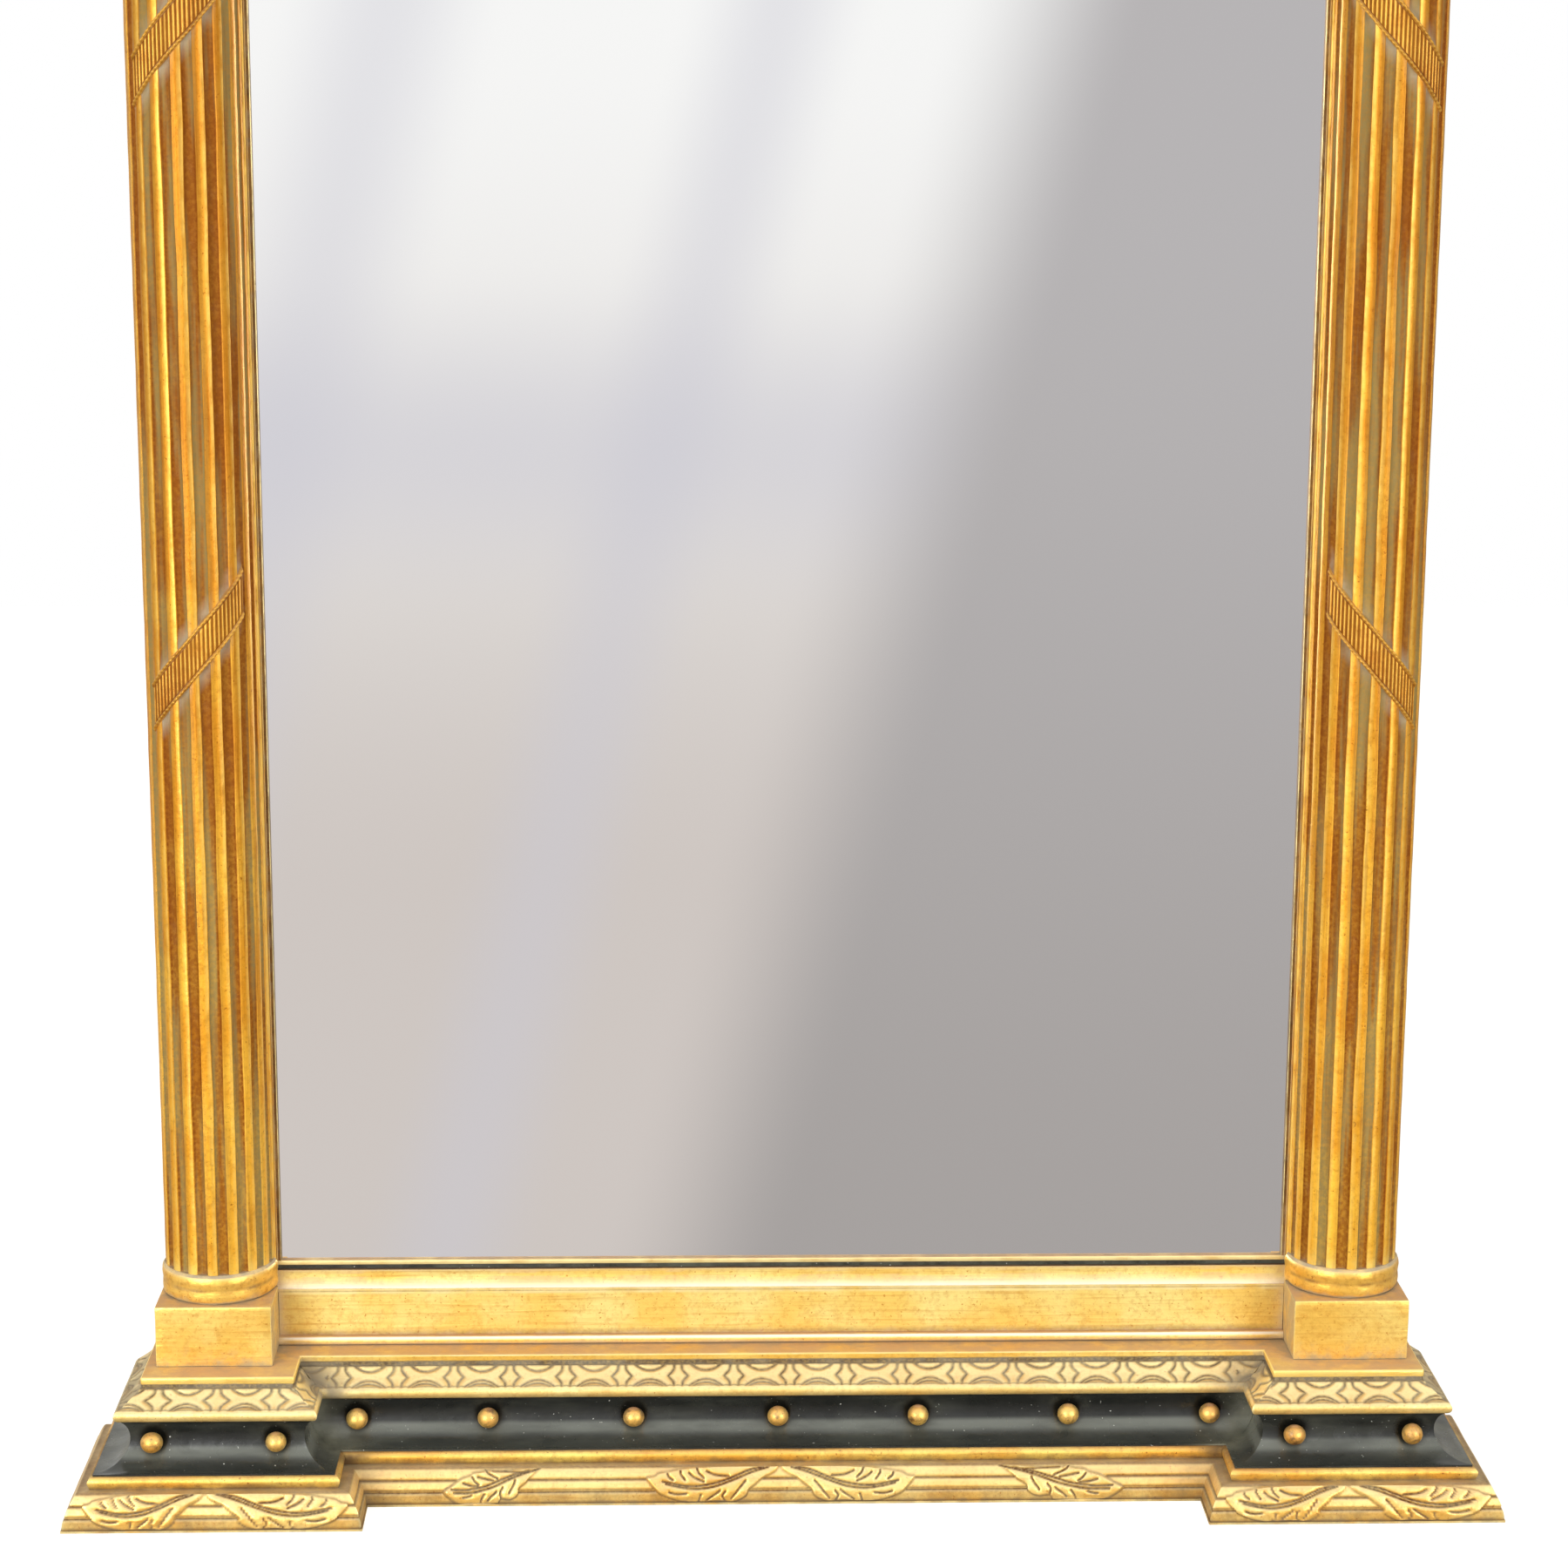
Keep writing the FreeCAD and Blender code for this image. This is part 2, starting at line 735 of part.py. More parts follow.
write_pair("stile", left_stile())
write_low_and_high("rail", bottom_rail())
write_low_and_high("fascia", bottom_fascia())
write_low_and_high("cove", bottom_cove())
write_low_and_high("slip", bottom_slip())
write_pair("slip", left_slip())
write("mirror_plate", mirror_plate())
write("backboards", backboards())

write_pair("plinth", left_plinth())
write_pair("capital_block", in_z(left_plinth()))
write("foot_rings", both_sides([left_ring()]))
write("capital_rings", both_sides([in_z(left_ring())]))
write_pair("column", left_column())
write_pair("ribbons", left_ribbons())

write("board_nails", Part.makeCompound(board_nails(0)))
write("hanger_screws", both_sides(strap_screws(0)))
write("hanger_straps", both_sides([left_strap()]))
write_pair("hanger_ring", left_hanging_ring())
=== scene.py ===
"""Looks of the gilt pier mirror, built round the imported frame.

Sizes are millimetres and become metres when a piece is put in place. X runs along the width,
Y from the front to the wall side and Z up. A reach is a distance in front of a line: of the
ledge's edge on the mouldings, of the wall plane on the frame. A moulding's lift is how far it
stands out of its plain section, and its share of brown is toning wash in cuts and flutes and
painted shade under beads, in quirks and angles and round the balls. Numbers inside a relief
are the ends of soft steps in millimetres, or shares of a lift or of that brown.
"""
import cmath
import logging
import math
from dataclasses import dataclass
from enum import Enum
from functools import partial
from typing import Any, Callable, ClassVar, Iterable, Sequence

import bmesh
import bpy
import numpy as np
from mathutils import Matrix, Vector


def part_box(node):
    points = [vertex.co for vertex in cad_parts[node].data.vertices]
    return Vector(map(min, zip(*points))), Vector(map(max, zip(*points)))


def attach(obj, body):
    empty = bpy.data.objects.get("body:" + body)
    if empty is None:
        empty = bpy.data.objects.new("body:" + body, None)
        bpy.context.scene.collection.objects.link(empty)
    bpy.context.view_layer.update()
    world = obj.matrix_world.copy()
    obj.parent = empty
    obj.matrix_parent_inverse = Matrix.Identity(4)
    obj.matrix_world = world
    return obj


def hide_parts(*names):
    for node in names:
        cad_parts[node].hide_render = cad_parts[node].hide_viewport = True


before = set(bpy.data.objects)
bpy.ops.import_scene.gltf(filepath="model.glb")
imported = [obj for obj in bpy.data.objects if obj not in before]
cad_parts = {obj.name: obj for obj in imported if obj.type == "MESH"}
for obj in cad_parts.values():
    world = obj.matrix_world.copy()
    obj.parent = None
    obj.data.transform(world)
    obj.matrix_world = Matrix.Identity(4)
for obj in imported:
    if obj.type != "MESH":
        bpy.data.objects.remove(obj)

Line = Sequence[Sequence[float]]
Corner = tuple[float, float, float, float]
Colour = tuple[float, float, float, float]
Marks = tuple[np.ndarray, np.ndarray]
DustAndShade = Callable[[np.ndarray, np.ndarray], np.ndarray]
Mesh = bmesh.types.BMesh
Socket = bpy.types.NodeSocket

LOG = logging.getLogger("pier_mirror")
MM = 0.001
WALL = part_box("backboards")[1].y / MM
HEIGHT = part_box("cornice_outer_board")[1].z / MM
CREASE = math.radians(35)
COLUMN_CREASE = math.radians(28)
TINY = 1e-6
FAR = 9.0
WHITE: Colour = (1.0, 1.0, 1.0, 1.0)
NUMBER, COLOUR, VECTOR = "NodeSocketFloat", "NodeSocketColor", "NodeSocketVector"


class End(Enum):
    """The two ends of the mirror, which carry the same mouldings."""

    BASE = "base"
    CORNICE = "cornice"

    def level(self, height: Any) -> Any:
        """A height of the base, or its mirror image at the cornice."""
        return height if self is End.BASE else HEIGHT - height


class Place(Enum):
    """Where a length of moulding or an upright sits."""

    LEFT = "left"
    CENTRE = "centre"
    RIGHT = "right"

    @property
    def side(self) -> int:
        """Minus one on the left and one elsewhere."""
        return -1 if self is Place.LEFT else 1


SIDES = (Place.LEFT, Place.RIGHT)


def tone(*shades: int) -> Colour:
    """A colour for a shader.

    Args:
        shades: Display values of red, green and blue, from 0 to 255.

    Returns:
        The linear colour with full alpha.
    """
    shares = (shade / 255 for shade in shades)
    linear = [s / 12.92 if s <= 0.04045 else ((s + 0.055) / 1.055) ** 2.4 for s in shares]
    return (*linear, 1.0)


def smooth(low: float, high: float, value: np.ndarray) -> np.ndarray:
    """A soft step from 0 at the low value to 1 at the high one."""
    share = np.clip((value - low) / (high - low), 0, 1)
    return share * share * (3 - 2 * share)


def bell(away: Any, width: float) -> Any:
    """A soft line: 1 in its middle and about a third at its width."""
    return np.exp(-(away / width) ** 2)


def wobble(along: np.ndarray, seed: float, wave: float = 90.0) -> np.ndarray:
    """The slow unevenness of hand work.

    Args:
        along: Distances along the piece.
        seed: Number that sets one piece apart from another.
        wave: Typical length of a wave.

    Returns:
        Offsets between about minus one and one.
    """
    turn = 2 * math.pi * along / wave
    return (np.sin(turn + seed) + 0.6 * np.sin(1.73 * turn + 2.1 * seed)
            + 0.35 * np.sin(3.1 * turn + 3.7 * seed)) / 1.95


def eased(points: Line, cuts: int = 6) -> np.ndarray:
    """A bent line drawn smoothly through a few points.

    Args:
        points: The points that the line passes through.
        cuts: Steps between two points.

    Returns:
        The points of the smooth line.
    """
    given = np.array(points, float)
    ends = np.vstack([2 * given[0] - given[1], given, 2 * given[-1] - given[-2]])
    made = []
    for before, start, stop, after in zip(ends, ends[1:], ends[2:], ends[3:]):
        for share in np.arange(cuts) / cuts:
            made.append(0.5 * (2 * start + (stop - before) * share
                               + (2 * before - 5 * start + 4 * stop - after) * share ** 2
                               + (3 * start - before - 3 * stop + after) * share ** 3))
    return np.array(made + [given[-1]])


def straight(start: Sequence[float], stop: Sequence[float], cuts: int) -> list[np.ndarray]:
    """Points on a straight line, without the last."""
    return list(np.linspace(start, stop, cuts, endpoint=False))


def arc(start: Sequence[float], middle: Sequence[float], stop: Sequence[float],
        cuts: int) -> list[tuple[float, float]]:
    """Points on the circle through three points, without the last.

    Args:
        start: First point.
        middle: A point between.
        stop: Last point.
        cuts: Number of steps.

    Returns:
        The points from the first on.
    """
    first, between, last = (complex(*point) for point in (start, middle, stop))
    ratio = (last - first) / (between - first)
    centre = first + (between - first) * (ratio - abs(ratio) ** 2) / (2j * ratio.imag)
    spoke, inner, outer = first - centre, between - centre, last - centre
    sweep = cmath.phase(inner / spoke) + cmath.phase(outer / inner)
    points = [centre + spoke * cmath.exp(1j * sweep * cut / cuts) for cut in range(cuts)]
    return [(point.real, point.imag) for point in points]


def distance_to(line: np.ndarray, points: np.ndarray) -> np.ndarray:
    """How far points lie from a bent line.

    Args:
        line: Points of the line.
        points: Points to measure.

    Returns:
        The shortest distance of each point.
    """
    steps = line[1:] - line[:-1]
    offsets = points[:, None] - line[:-1]
    shares = np.clip((offsets * steps).sum(-1) / (steps ** 2).sum(-1), 0, 1)
    return np.linalg.norm(offsets - shares[..., None] * steps, axis=-1).min(1)


def is_inside(line: np.ndarray, points: np.ndarray) -> np.ndarray:
    """Tells which points lie inside a closed outline.

    Args:
        line: Points of the outline.
        points: Points to test.

    Returns:
        True for each point inside.
    """
    ends = np.roll(line, -1, axis=0)
    low, high = line[:, 1], ends[:, 1]
    x, y = points[:, :1], points[:, 1:]
    spans = (low <= y) != (high <= y)
    rise = np.where(high == low, 1.0, high - low)
    crossing = line[:, 0] + (y - low) / rise * (ends[:, 0] - line[:, 0])
    return (spans & (x < crossing)).sum(1) % 2 == 1


@dataclass
class Graph:
    """Adds and joins the nodes of one node tree, whose patterns are read at one place."""

    tree: bpy.types.NodeTree
    place: Any = None

    @classmethod
    def of(cls, owner: Any) -> "Graph":
        """The emptied graph of a material or world.

        Args:
            owner: The material or world.

        Returns:
            The graph.
        """
        owner.use_nodes = True
        owner.node_tree.nodes.clear()
        return cls(owner.node_tree)

    def node(self, kind: str, inputs: dict | None = None, **settings: Any) -> bpy.types.Node:
        """Adds one node.

        Args:
            kind: Node type without the word ShaderNode.
            inputs: Socket names or numbers, with a value or the socket that feeds each.
            settings: Settings of the node itself.

        Returns:
            The node.
        """
        made = self.tree.nodes.new("ShaderNode" + kind)
        for name, value in settings.items():
            setattr(made, name, value)
        for key, value in (inputs or {}).items():
            if isinstance(value, Socket):
                self.tree.links.new(value, made.inputs[key])
            else:
                made.inputs[key].default_value = value
        return made

    def math(self, operation: str, first: Any, second: Any = 0.0) -> Socket:
        """The result of a sum with one or two numbers or sockets."""
        return self.node("Math", {0: first, 1: second}, operation=operation).outputs[0]

    def times(self, first: Any, second: Any) -> Socket:
        """One number times another."""
        return self.math("MULTIPLY", first, second)

    def less(self, first: Any, second: Any) -> Socket:
        """One number less another."""
        return self.math("SUBTRACT", first, second)

    def most(self, first: Any, second: Any) -> Socket:
        """The larger of two numbers."""
        return self.math("MAXIMUM", first, second)

    def gap(self, first: Any, second: Any) -> Socket:
        """How far two numbers lie apart."""
        return self.math("ABSOLUTE", self.less(first, second))

    def step(self, value: Any, low: Any, high: Any, top: Any = 1.0, floor: Any = 0.0) -> Socket:
        """A soft step between two values.

        Args:
            value: Number or socket to step.
            low: Where the step starts.
            high: Where it ends.
            top: Result at the high end.
            floor: Result at the low end.

        Returns:
            The result's socket.
        """
        inputs = {"Value": value, "From Min": low, "From Max": high, "To Min": floor,
                  "To Max": top}
        return self.node("MapRange", inputs, interpolation_type="SMOOTHSTEP").outputs[0]

    def mix(self, share: Any, first: Any, second: Any) -> Socket:
        """A mixture of two colours, with this share of the second."""
        return self.node("Mix", {0: share, 6: first, 7: second}, data_type="RGBA").outputs[2]

    def layers(self, colour: Any, *layers: tuple[Any, Any]) -> Socket:
        """Lays colours over a first one.

        Args:
            colour: The first colour.
            layers: Share and colour of each layer, from the lowest.

        Returns:
            The resulting colour's socket.
        """
        for share, layer in layers:
            colour = self.mix(share, colour, layer)
        return colour

    def noise(self, scale: Any, detail: float = 3.0, roughness: float = 0.55,
              at: Any = None) -> Socket:
        """Cloudy noise between about 0.2 and 0.8.

        Args:
            scale: Waves in a metre.
            detail: Number of finer layers.
            roughness: Share of each finer layer.
            at: Place to read it at, if not the graph's own.

        Returns:
            The noise value's socket.
        """
        vector = self.place if at is None else at
        inputs = {"Vector": vector, "Scale": scale, "Detail": detail, "Roughness": roughness}
        return self.node("TexNoise", inputs).outputs[0]

    def stretched(self, scale: Any) -> Socket:
        """The graph's place, scaled along each axis."""
        return self.node("Mapping", {"Vector": self.place, "Scale": scale}).outputs[0]

    def parts(self, vector: Any) -> Any:
        """The three sockets with a vector's X, Y and Z."""
        return self.node("SeparateXYZ", {0: vector}).outputs

    def facing_up(self) -> Socket:
        """How much the surface faces up, from minus one to one."""
        return self.parts(self.node("NewGeometry").outputs["Normal"])[2]

    def mark(self, name: str) -> Socket:
        """A mark that the mesh carries at its vertices or faces."""
        return self.node("Attribute", attribute_name=name).outputs["Fac"]

    def bump(self, height: Any, depth: float) -> Socket:
        """A normal bumped by a height, with the bumps' depth in metres."""
        return self.node("Bump", {"Height": height, "Distance": depth,
                                  "Strength": 1.0}).outputs[0]

    def effect(self, kind: type["Effect"], **inputs: Any) -> Any:
        """The outputs of a shared effect that is placed in this graph."""
        given = {"Vector": self.place, **inputs}
        return self.node("Group", given, node_tree=kind.group()).outputs


class Effect(Graph):
    """A surface effect that several finishes share, kept as one node group."""

    title: ClassVar[str]
    takes: ClassVar[dict[str, str]]
    gives: ClassVar[dict[str, str]]
    given: Any = None

    @classmethod
    def group(cls) -> bpy.types.NodeTree:
        """The effect's node group, built at its first use.

        Returns:
            The node group.
        """
        found = bpy.data.node_groups.get(cls.title)
        if found:
            return found
        tree = bpy.data.node_groups.new(cls.title, "ShaderNodeTree")
        for way, sockets in (("INPUT", cls.takes), ("OUTPUT", cls.gives)):
            for name, kind in sockets.items():
                tree.interface.new_socket(name, in_out=way, socket_type=kind)
        effect = cls(tree)
        effect.given = tree.nodes.new("NodeGroupInput").outputs
        effect.place = effect.given["Vector"]
        results = effect.results()
        last = tree.nodes.new("NodeGroupOutput")
        for name, result in zip(cls.gives, results):
            tree.links.new(result, last.inputs[name])
        return tree

    def results(self) -> tuple[Socket, ...]:
        """The sockets that feed the outputs. Each effect has its own way."""
        raise NotImplementedError


class Gilding(Effect):
    """Burnished and rubbed gilding."""

    title = "gilding"
    takes = {"Vector": VECTOR, "Stretch": VECTOR, "Bright": COLOUR, "Middle": COLOUR,
             "Deep": COLOUR, "Streaks": NUMBER}
    gives = {"Color": COLOUR, "Height": NUMBER}

    def results(self) -> tuple[Socket, ...]:
        """Clouds of bright gold, with deep streaks, mottling and spots.

        Returns:
            Colour and height.
        """
        given = self.given
        broad = self.step(self.noise(17.0), 0.36, 0.66)
        fine = self.noise(1.0, 4.0, 0.62, self.stretched(given["Stretch"]))
        streak = self.times(self.step(fine, 0.5, 0.72), given["Streaks"])
        mottled = self.step(self.noise(240.0, 5.0, 0.7), 0.46, 0.68, 0.34)
        spots = self.step(self.noise(420.0, 2.0), 0.64, 0.74, 0.8)
        colour = self.layers(given["Middle"], (broad, given["Bright"]), (streak, given["Deep"]),
                             (self.most(spots, mottled), given["Deep"]))
        return colour, self.math("ADD", fine, self.times(self.noise(160.0), 1.5))


class RecessDirt(Effect):
    """Dirt that gathers where the surface is shut in."""

    title = "recess_dirt"
    takes = {"Vector": VECTOR, "Spread": NUMBER, "Amount": NUMBER}
    gives = {"Mask": NUMBER}

    def results(self) -> tuple[Socket, ...]:
        """A cloudy share of what the surroundings hide.

        Returns:
            The mask.
        """
        shut = self.node("AmbientOcclusion", {"Distance": self.given["Spread"]}, samples=6)
        hidden = self.less(1.0, shut.outputs["AO"])
        cloudy = self.step(self.noise(90.0, 4.0), 0.3, 0.7, 0.18, -0.18)
        mask = self.step(self.math("ADD", hidden, cloudy), 0.3, 0.72)
        return (self.times(mask, self.given["Amount"]),)


class EdgeWearAndHighlight(Effect):
    """Rubbing along proud edges, which also stands for painted highlight on them."""

    title = "edge_wear_and_highlight"
    takes = {"Vector": VECTOR, "Amount": NUMBER}
    gives = {"Mask": NUMBER}

    def results(self) -> tuple[Socket, ...]:
        """A broken share of the proud edges.

        Returns:
            The mask.
        """
        proud = self.step(self.node("NewGeometry").outputs["Pointiness"], 0.515, 0.57)
        broken = self.step(self.noise(60.0, 4.0), 0.25, 0.6)
        return (self.times(self.times(proud, broken), self.given["Amount"]),)


class DustAndHighlight(Effect):
    """Dust on what faces up, and a painted highlight on slopes that face up."""

    title = "dust_and_highlight"
    takes = {"Vector": VECTOR, "Amount": NUMBER}
    gives = {"Mask": NUMBER, "Highlight": NUMBER}

    def results(self) -> tuple[Socket, ...]:
        """Cloudy dust on the flats, and a painted highlight on the up-facing slopes, not on the
        flats.

        Returns:
            The mask of the dust and that of the painted highlight.
        """
        rise = self.facing_up()
        flat = self.step(rise, 0.8, 0.99)
        cloudy = self.step(self.noise(45.0, 4.0), 0.25, 0.6, 1.0, 0.45)
        # Painted highlight: up-facing slopes turn pale, as if lit from above.
        painted_highlight = self.less(self.step(rise, 0.12, 0.72), flat)
        return self.times(self.times(flat, cloudy), self.given["Amount"]), self.most(painted_highlight, 0.0)


class WoodGrain(Effect):
    """Long grain of sawn pine."""

    title = "wood_grain"
    takes = {"Vector": VECTOR, "Stretch": VECTOR, "Light": COLOUR, "Dark": COLOUR}
    gives = {"Color": COLOUR, "Height": NUMBER}

    def results(self) -> tuple[Socket, ...]:
        """Bands along the grain, with broad clouds.

        Returns:
            Colour and height.
        """
        bands = self.noise(1.0, 5.0, 0.6, self.stretched(self.given["Stretch"]))
        share = self.math("ADD", bands, self.times(self.noise(9.0), 0.4))
        share = self.step(share, 0.5, 0.95)
        return self.mix(share, self.given["Light"], self.given["Dark"]), bands


@dataclass(frozen=True)
class Finish:
    """A procedural material: its name, and what every finish does alike."""

    name: str

    def material(self) -> bpy.types.Material:
        """The finish's material, made at its first use.

        Returns:
            The material.
        """
        title = self.name + "_finish"
        found = bpy.data.materials.get(title)
        if found:
            return found
        made = bpy.data.materials.new(title)
        graph = Graph.of(made)
        graph.place = graph.node("TexCoord").outputs["Object"]
        shader = graph.node("BsdfPrincipled", self.dress(graph))
        graph.node("OutputMaterial", {"Surface": shader.outputs[0]})
        return made

    def dress(self, graph: Graph) -> dict[str, Any]:
        """The shader's inputs. Each finish has its own way."""
        raise NotImplementedError


@dataclass(frozen=True)
class GiltFinish(Finish):
    """Water gilding over bole, toned with brown, bright where worn, with painted highlight and
    shade.
    """

    bright: Colour = tone(255, 222, 122)
    middle: Colour = tone(252, 202, 90)
    deep: Colour = tone(206, 134, 42)
    # Pale colour and share of the painted highlight on slopes that face up.
    painted_highlight: Colour = tone(255, 243, 200)
    painted_highlight_amount: float = 0.7
    # Brown of the toning, which also paints shade under beads, in quirks and in angles.
    wash_and_shade: Colour = tone(126, 76, 30)
    wash_and_shade_grey: Colour = tone(146, 116, 76)
    wash_and_shade_stretch: tuple[float, float, float] = (30.0, 30.0, 30.0)
    dirt: Colour = tone(174, 158, 130)
    dust: Colour = tone(198, 152, 114)
    # Colour of worn edges, which also stands for painted highlight on them.
    rubbed_and_highlight: Colour = tone(255, 236, 168)
    stretch: tuple[float, float, float] = (14.0, 160.0, 220.0)
    streaks: float = 0.45
    wash_and_shade_amount: float = 0.9
    dirt_amount: float = 0.8
    dirt_spread: float = 0.012
    dust_amount: float = 0.9
    wear_and_highlight_amount: float = 0.8
    metallic: float = 0.55
    roughness: float = 0.38
    dull_roughness: float = 0.75
    bump_depth: float = 0.00025
    # Share of the deep colour towards the middle of the mirror's height.
    mid_height_darkening: float = 0.0
    specular: float = 0.3

    def dress(self, graph: Graph) -> dict[str, Any]:
        """Layers gilding, painted highlight, worn edges, brown toning with painted shade, dirt
        and dust.

        Args:
            graph: Graph of the material.

        Returns:
            The shader's inputs.
        """
        gilding = graph.effect(Gilding, Stretch=self.stretch, Bright=self.bright,
                               Middle=self.middle, Deep=self.deep, Streaks=self.streaks)
        # The second output is a painted highlight on slopes that face up.
        dust, painted_highlight = graph.effect(DustAndHighlight, Amount=self.dust_amount)
        painted_highlight = graph.times(painted_highlight, self.painted_highlight_amount)
        broken = graph.step(graph.noise(70.0), 0.3, 0.6, 0.85, 0.3)
        # Worn edges: wear on proud edges, and painted highlight where the edge mark lies.
        wear = graph.most(graph.effect(EdgeWearAndHighlight, Amount=self.wear_and_highlight_amount)[0],
                          graph.times(graph.mark("edge"), broken))
        dirt = graph.effect(RecessDirt, Spread=self.dirt_spread, Amount=self.dirt_amount)[0]
        cloudy = graph.step(graph.noise(55.0, 5.0), 0.32, 0.62, 1.0, 0.35)
        # The dust mark also carries painted shade high in the cove and in the channel under the
        # bead.
        dirt = graph.most(dirt, graph.times(graph.mark("grime"), cloudy))
        grainy = graph.step(graph.noise(380.0), 0.36, 0.6, self.wash_and_shade_amount,
                            0.8 * self.wash_and_shade_amount)
        # Brown toning in cuts and flutes, and painted shade under beads, in quirks and angles.
        wash_and_shade = graph.times(graph.mark("groove"), grainy)
        patch = graph.step(graph.noise(1.0, at=graph.stretched(self.wash_and_shade_stretch)), 0.42, 0.6)
        # Darker towards the middle of the mirror's height.
        from_middle = graph.gap(graph.parts(graph.place)[2], HEIGHT / 2 * MM)
        colour = graph.layers(
            gilding["Color"], (graph.step(from_middle, 0.85, 0.15, self.mid_height_darkening), self.deep),
            (painted_highlight, self.painted_highlight), (wear, self.rubbed_and_highlight),
            (wash_and_shade, graph.mix(patch, self.wash_and_shade, self.wash_and_shade_grey)), (dust, self.dust),
            (dirt, self.dirt))
        dull = graph.most(graph.most(dirt, dust), graph.most(wash_and_shade, graph.times(painted_highlight, 0.75)))
        return {"Base Color": colour, "Metallic": graph.step(dull, 0.0, 1.0, 0.0, self.metallic),
                "Roughness": graph.step(dull, 0.0, 1.0, self.dull_roughness, self.roughness),
                "Normal": graph.bump(gilding["Height"], self.bump_depth),
                "Specular IOR Level": self.specular}


@dataclass(frozen=True)
class EbonisedFinish(Finish):
    """Black stained wood under old polish, with dust in its corners."""

    black: Colour = tone(28, 29, 26)
    worn: Colour = tone(78, 80, 70)
    # Grey of the painted reflection on the lower part of the hollow.
    painted_sheen: Colour = tone(118, 121, 112)
    dirt: Colour = tone(132, 131, 112)
    shadow: Colour = tone(12, 12, 10)
    speck: Colour = tone(200, 200, 190)

    def dress(self, graph: Graph) -> dict[str, Any]:
        """Layers the stain, greyed patches, a painted reflection, dirt, painted shadow and white
        specks.

        Args:
            graph: Graph of the material.

        Returns:
            The shader's inputs.
        """
        along = graph.stretched((9.0, 34.0, 34.0))
        patches = graph.step(graph.noise(1.0, 4.0, at=along), 0.42, 0.72, 0.6)
        rise = graph.facing_up()
        # Painted reflection: a paler band across the lower part of the hollow that faces up.
        band = graph.less(graph.step(rise, 0.26, 0.46), graph.step(rise, 0.62, 0.82, 0.75))
        uneven = graph.step(graph.noise(1.6, 4.0, at=along), 0.3, 0.6, 0.75, 0.4)
        cloudy = graph.step(graph.noise(38.0, 5.0), 0.3, 0.65, 0.85, 0.25)
        dirt = graph.most(graph.effect(RecessDirt, Spread=0.016, Amount=0.35)[0],
                          graph.times(graph.mark("grime"), cloudy))
        specks = graph.step(graph.noise(520.0, 1.0), 0.765, 0.79)
        # The shade mark here is a painted shadow ring round each ball.
        colour = graph.layers(
            self.black, (patches, self.worn), (graph.times(band, uneven), self.painted_sheen),
            (dirt, self.dirt), (graph.times(graph.mark("groove"), 0.95), self.shadow),
            (specks, self.speck))
        return {"Base Color": colour,
                "Roughness": graph.step(graph.noise(40.0), 0.3, 0.7, 0.42, 0.18),
                "Normal": graph.bump(graph.noise(110.0, 4.0), 0.0003)}


@dataclass(frozen=True)
class PineFinish(Finish):
    """Old sawn pine, darkened by age. Boards above one another differ in tint."""

    light: Colour = tone(188, 150, 104)
    dark: Colour = tone(132, 94, 56)
    dirt: Colour = tone(70, 56, 42)
    stretch: tuple[float, float, float] = (4.0, 140.0, 140.0)
    board_pitch: float = 9.0
    board_foot: float = 0.1273
    board_shift: float = 3.7

    def dress(self, graph: Graph) -> dict[str, Any]:
        """Lays the grain and the dirt of age.

        Args:
            graph: Graph of the material.

        Returns:
            The shader's inputs.
        """
        rise = graph.less(graph.parts(graph.place)[2], self.board_foot)
        board = graph.math("FLOOR", graph.math("DIVIDE", rise, self.board_pitch))
        tint = graph.node("TexWhiteNoise", {"W": board}, noise_dimensions="1D").outputs[0]
        shift = graph.node("CombineXYZ", {0: graph.times(board, self.board_shift)}).outputs[0]
        graph.place = graph.node("VectorMath", {0: graph.place, 1: shift},
                                 operation="ADD").outputs[0]
        grain = graph.effect(WoodGrain, Stretch=self.stretch, Light=self.light, Dark=self.dark)
        stain = graph.step(graph.noise(6.0, 4.0), 0.5, 0.75, 0.45)
        shares = (graph.effect(RecessDirt, Spread=0.01, Amount=0.8)[0], stain,
                  graph.times(tint, 0.4))
        return {"Base Color": graph.layers(grain["Color"],
                                           *((share, self.dirt) for share in shares)),
                "Roughness": 0.78, "Normal": graph.bump(grain["Height"], 0.0005)}


@dataclass(frozen=True)
class MetalFinish(Finish):
    """Plain metal of the fittings, dulled by handling."""

    clean: Colour
    tarnish: Colour
    roughness: float = 0.4

    def dress(self, graph: Graph) -> dict[str, Any]:
        """Mixes clean and tarnished metal.

        Args:
            graph: Graph of the material.

        Returns:
            The shader's inputs.
        """
        share = graph.step(graph.noise(320.0, 5.0, 0.65), 0.42, 0.72, 0.7)
        dirt = graph.effect(RecessDirt, Spread=0.004, Amount=0.8)[0]
        return {"Base Color": graph.mix(graph.most(share, dirt), self.clean, self.tarnish),
                "Metallic": 0.9,
                "Roughness": graph.step(share, 0.0, 1.0, self.roughness + 0.2, self.roughness)}


@dataclass(frozen=True)
class MirrorFinish(Finish):
    """Silvered plate: clean glass in front, backing paint behind."""

    silver: Colour = tone(246, 246, 246)

    def dress(self, graph: Graph) -> dict[str, Any]:
        """Silvers the plate, with hardly visible wiping marks.

        Args:
            graph: Graph of the material.

        Returns:
            The shader's inputs.
        """
        marks = graph.noise(2.0, 2.0, at=graph.stretched((3, 3, 1)))
        return {"Base Color": self.silver, "Metallic": 1.0,
                "Roughness": graph.step(marks, 0.3, 0.7, 0.035, 0.02)}


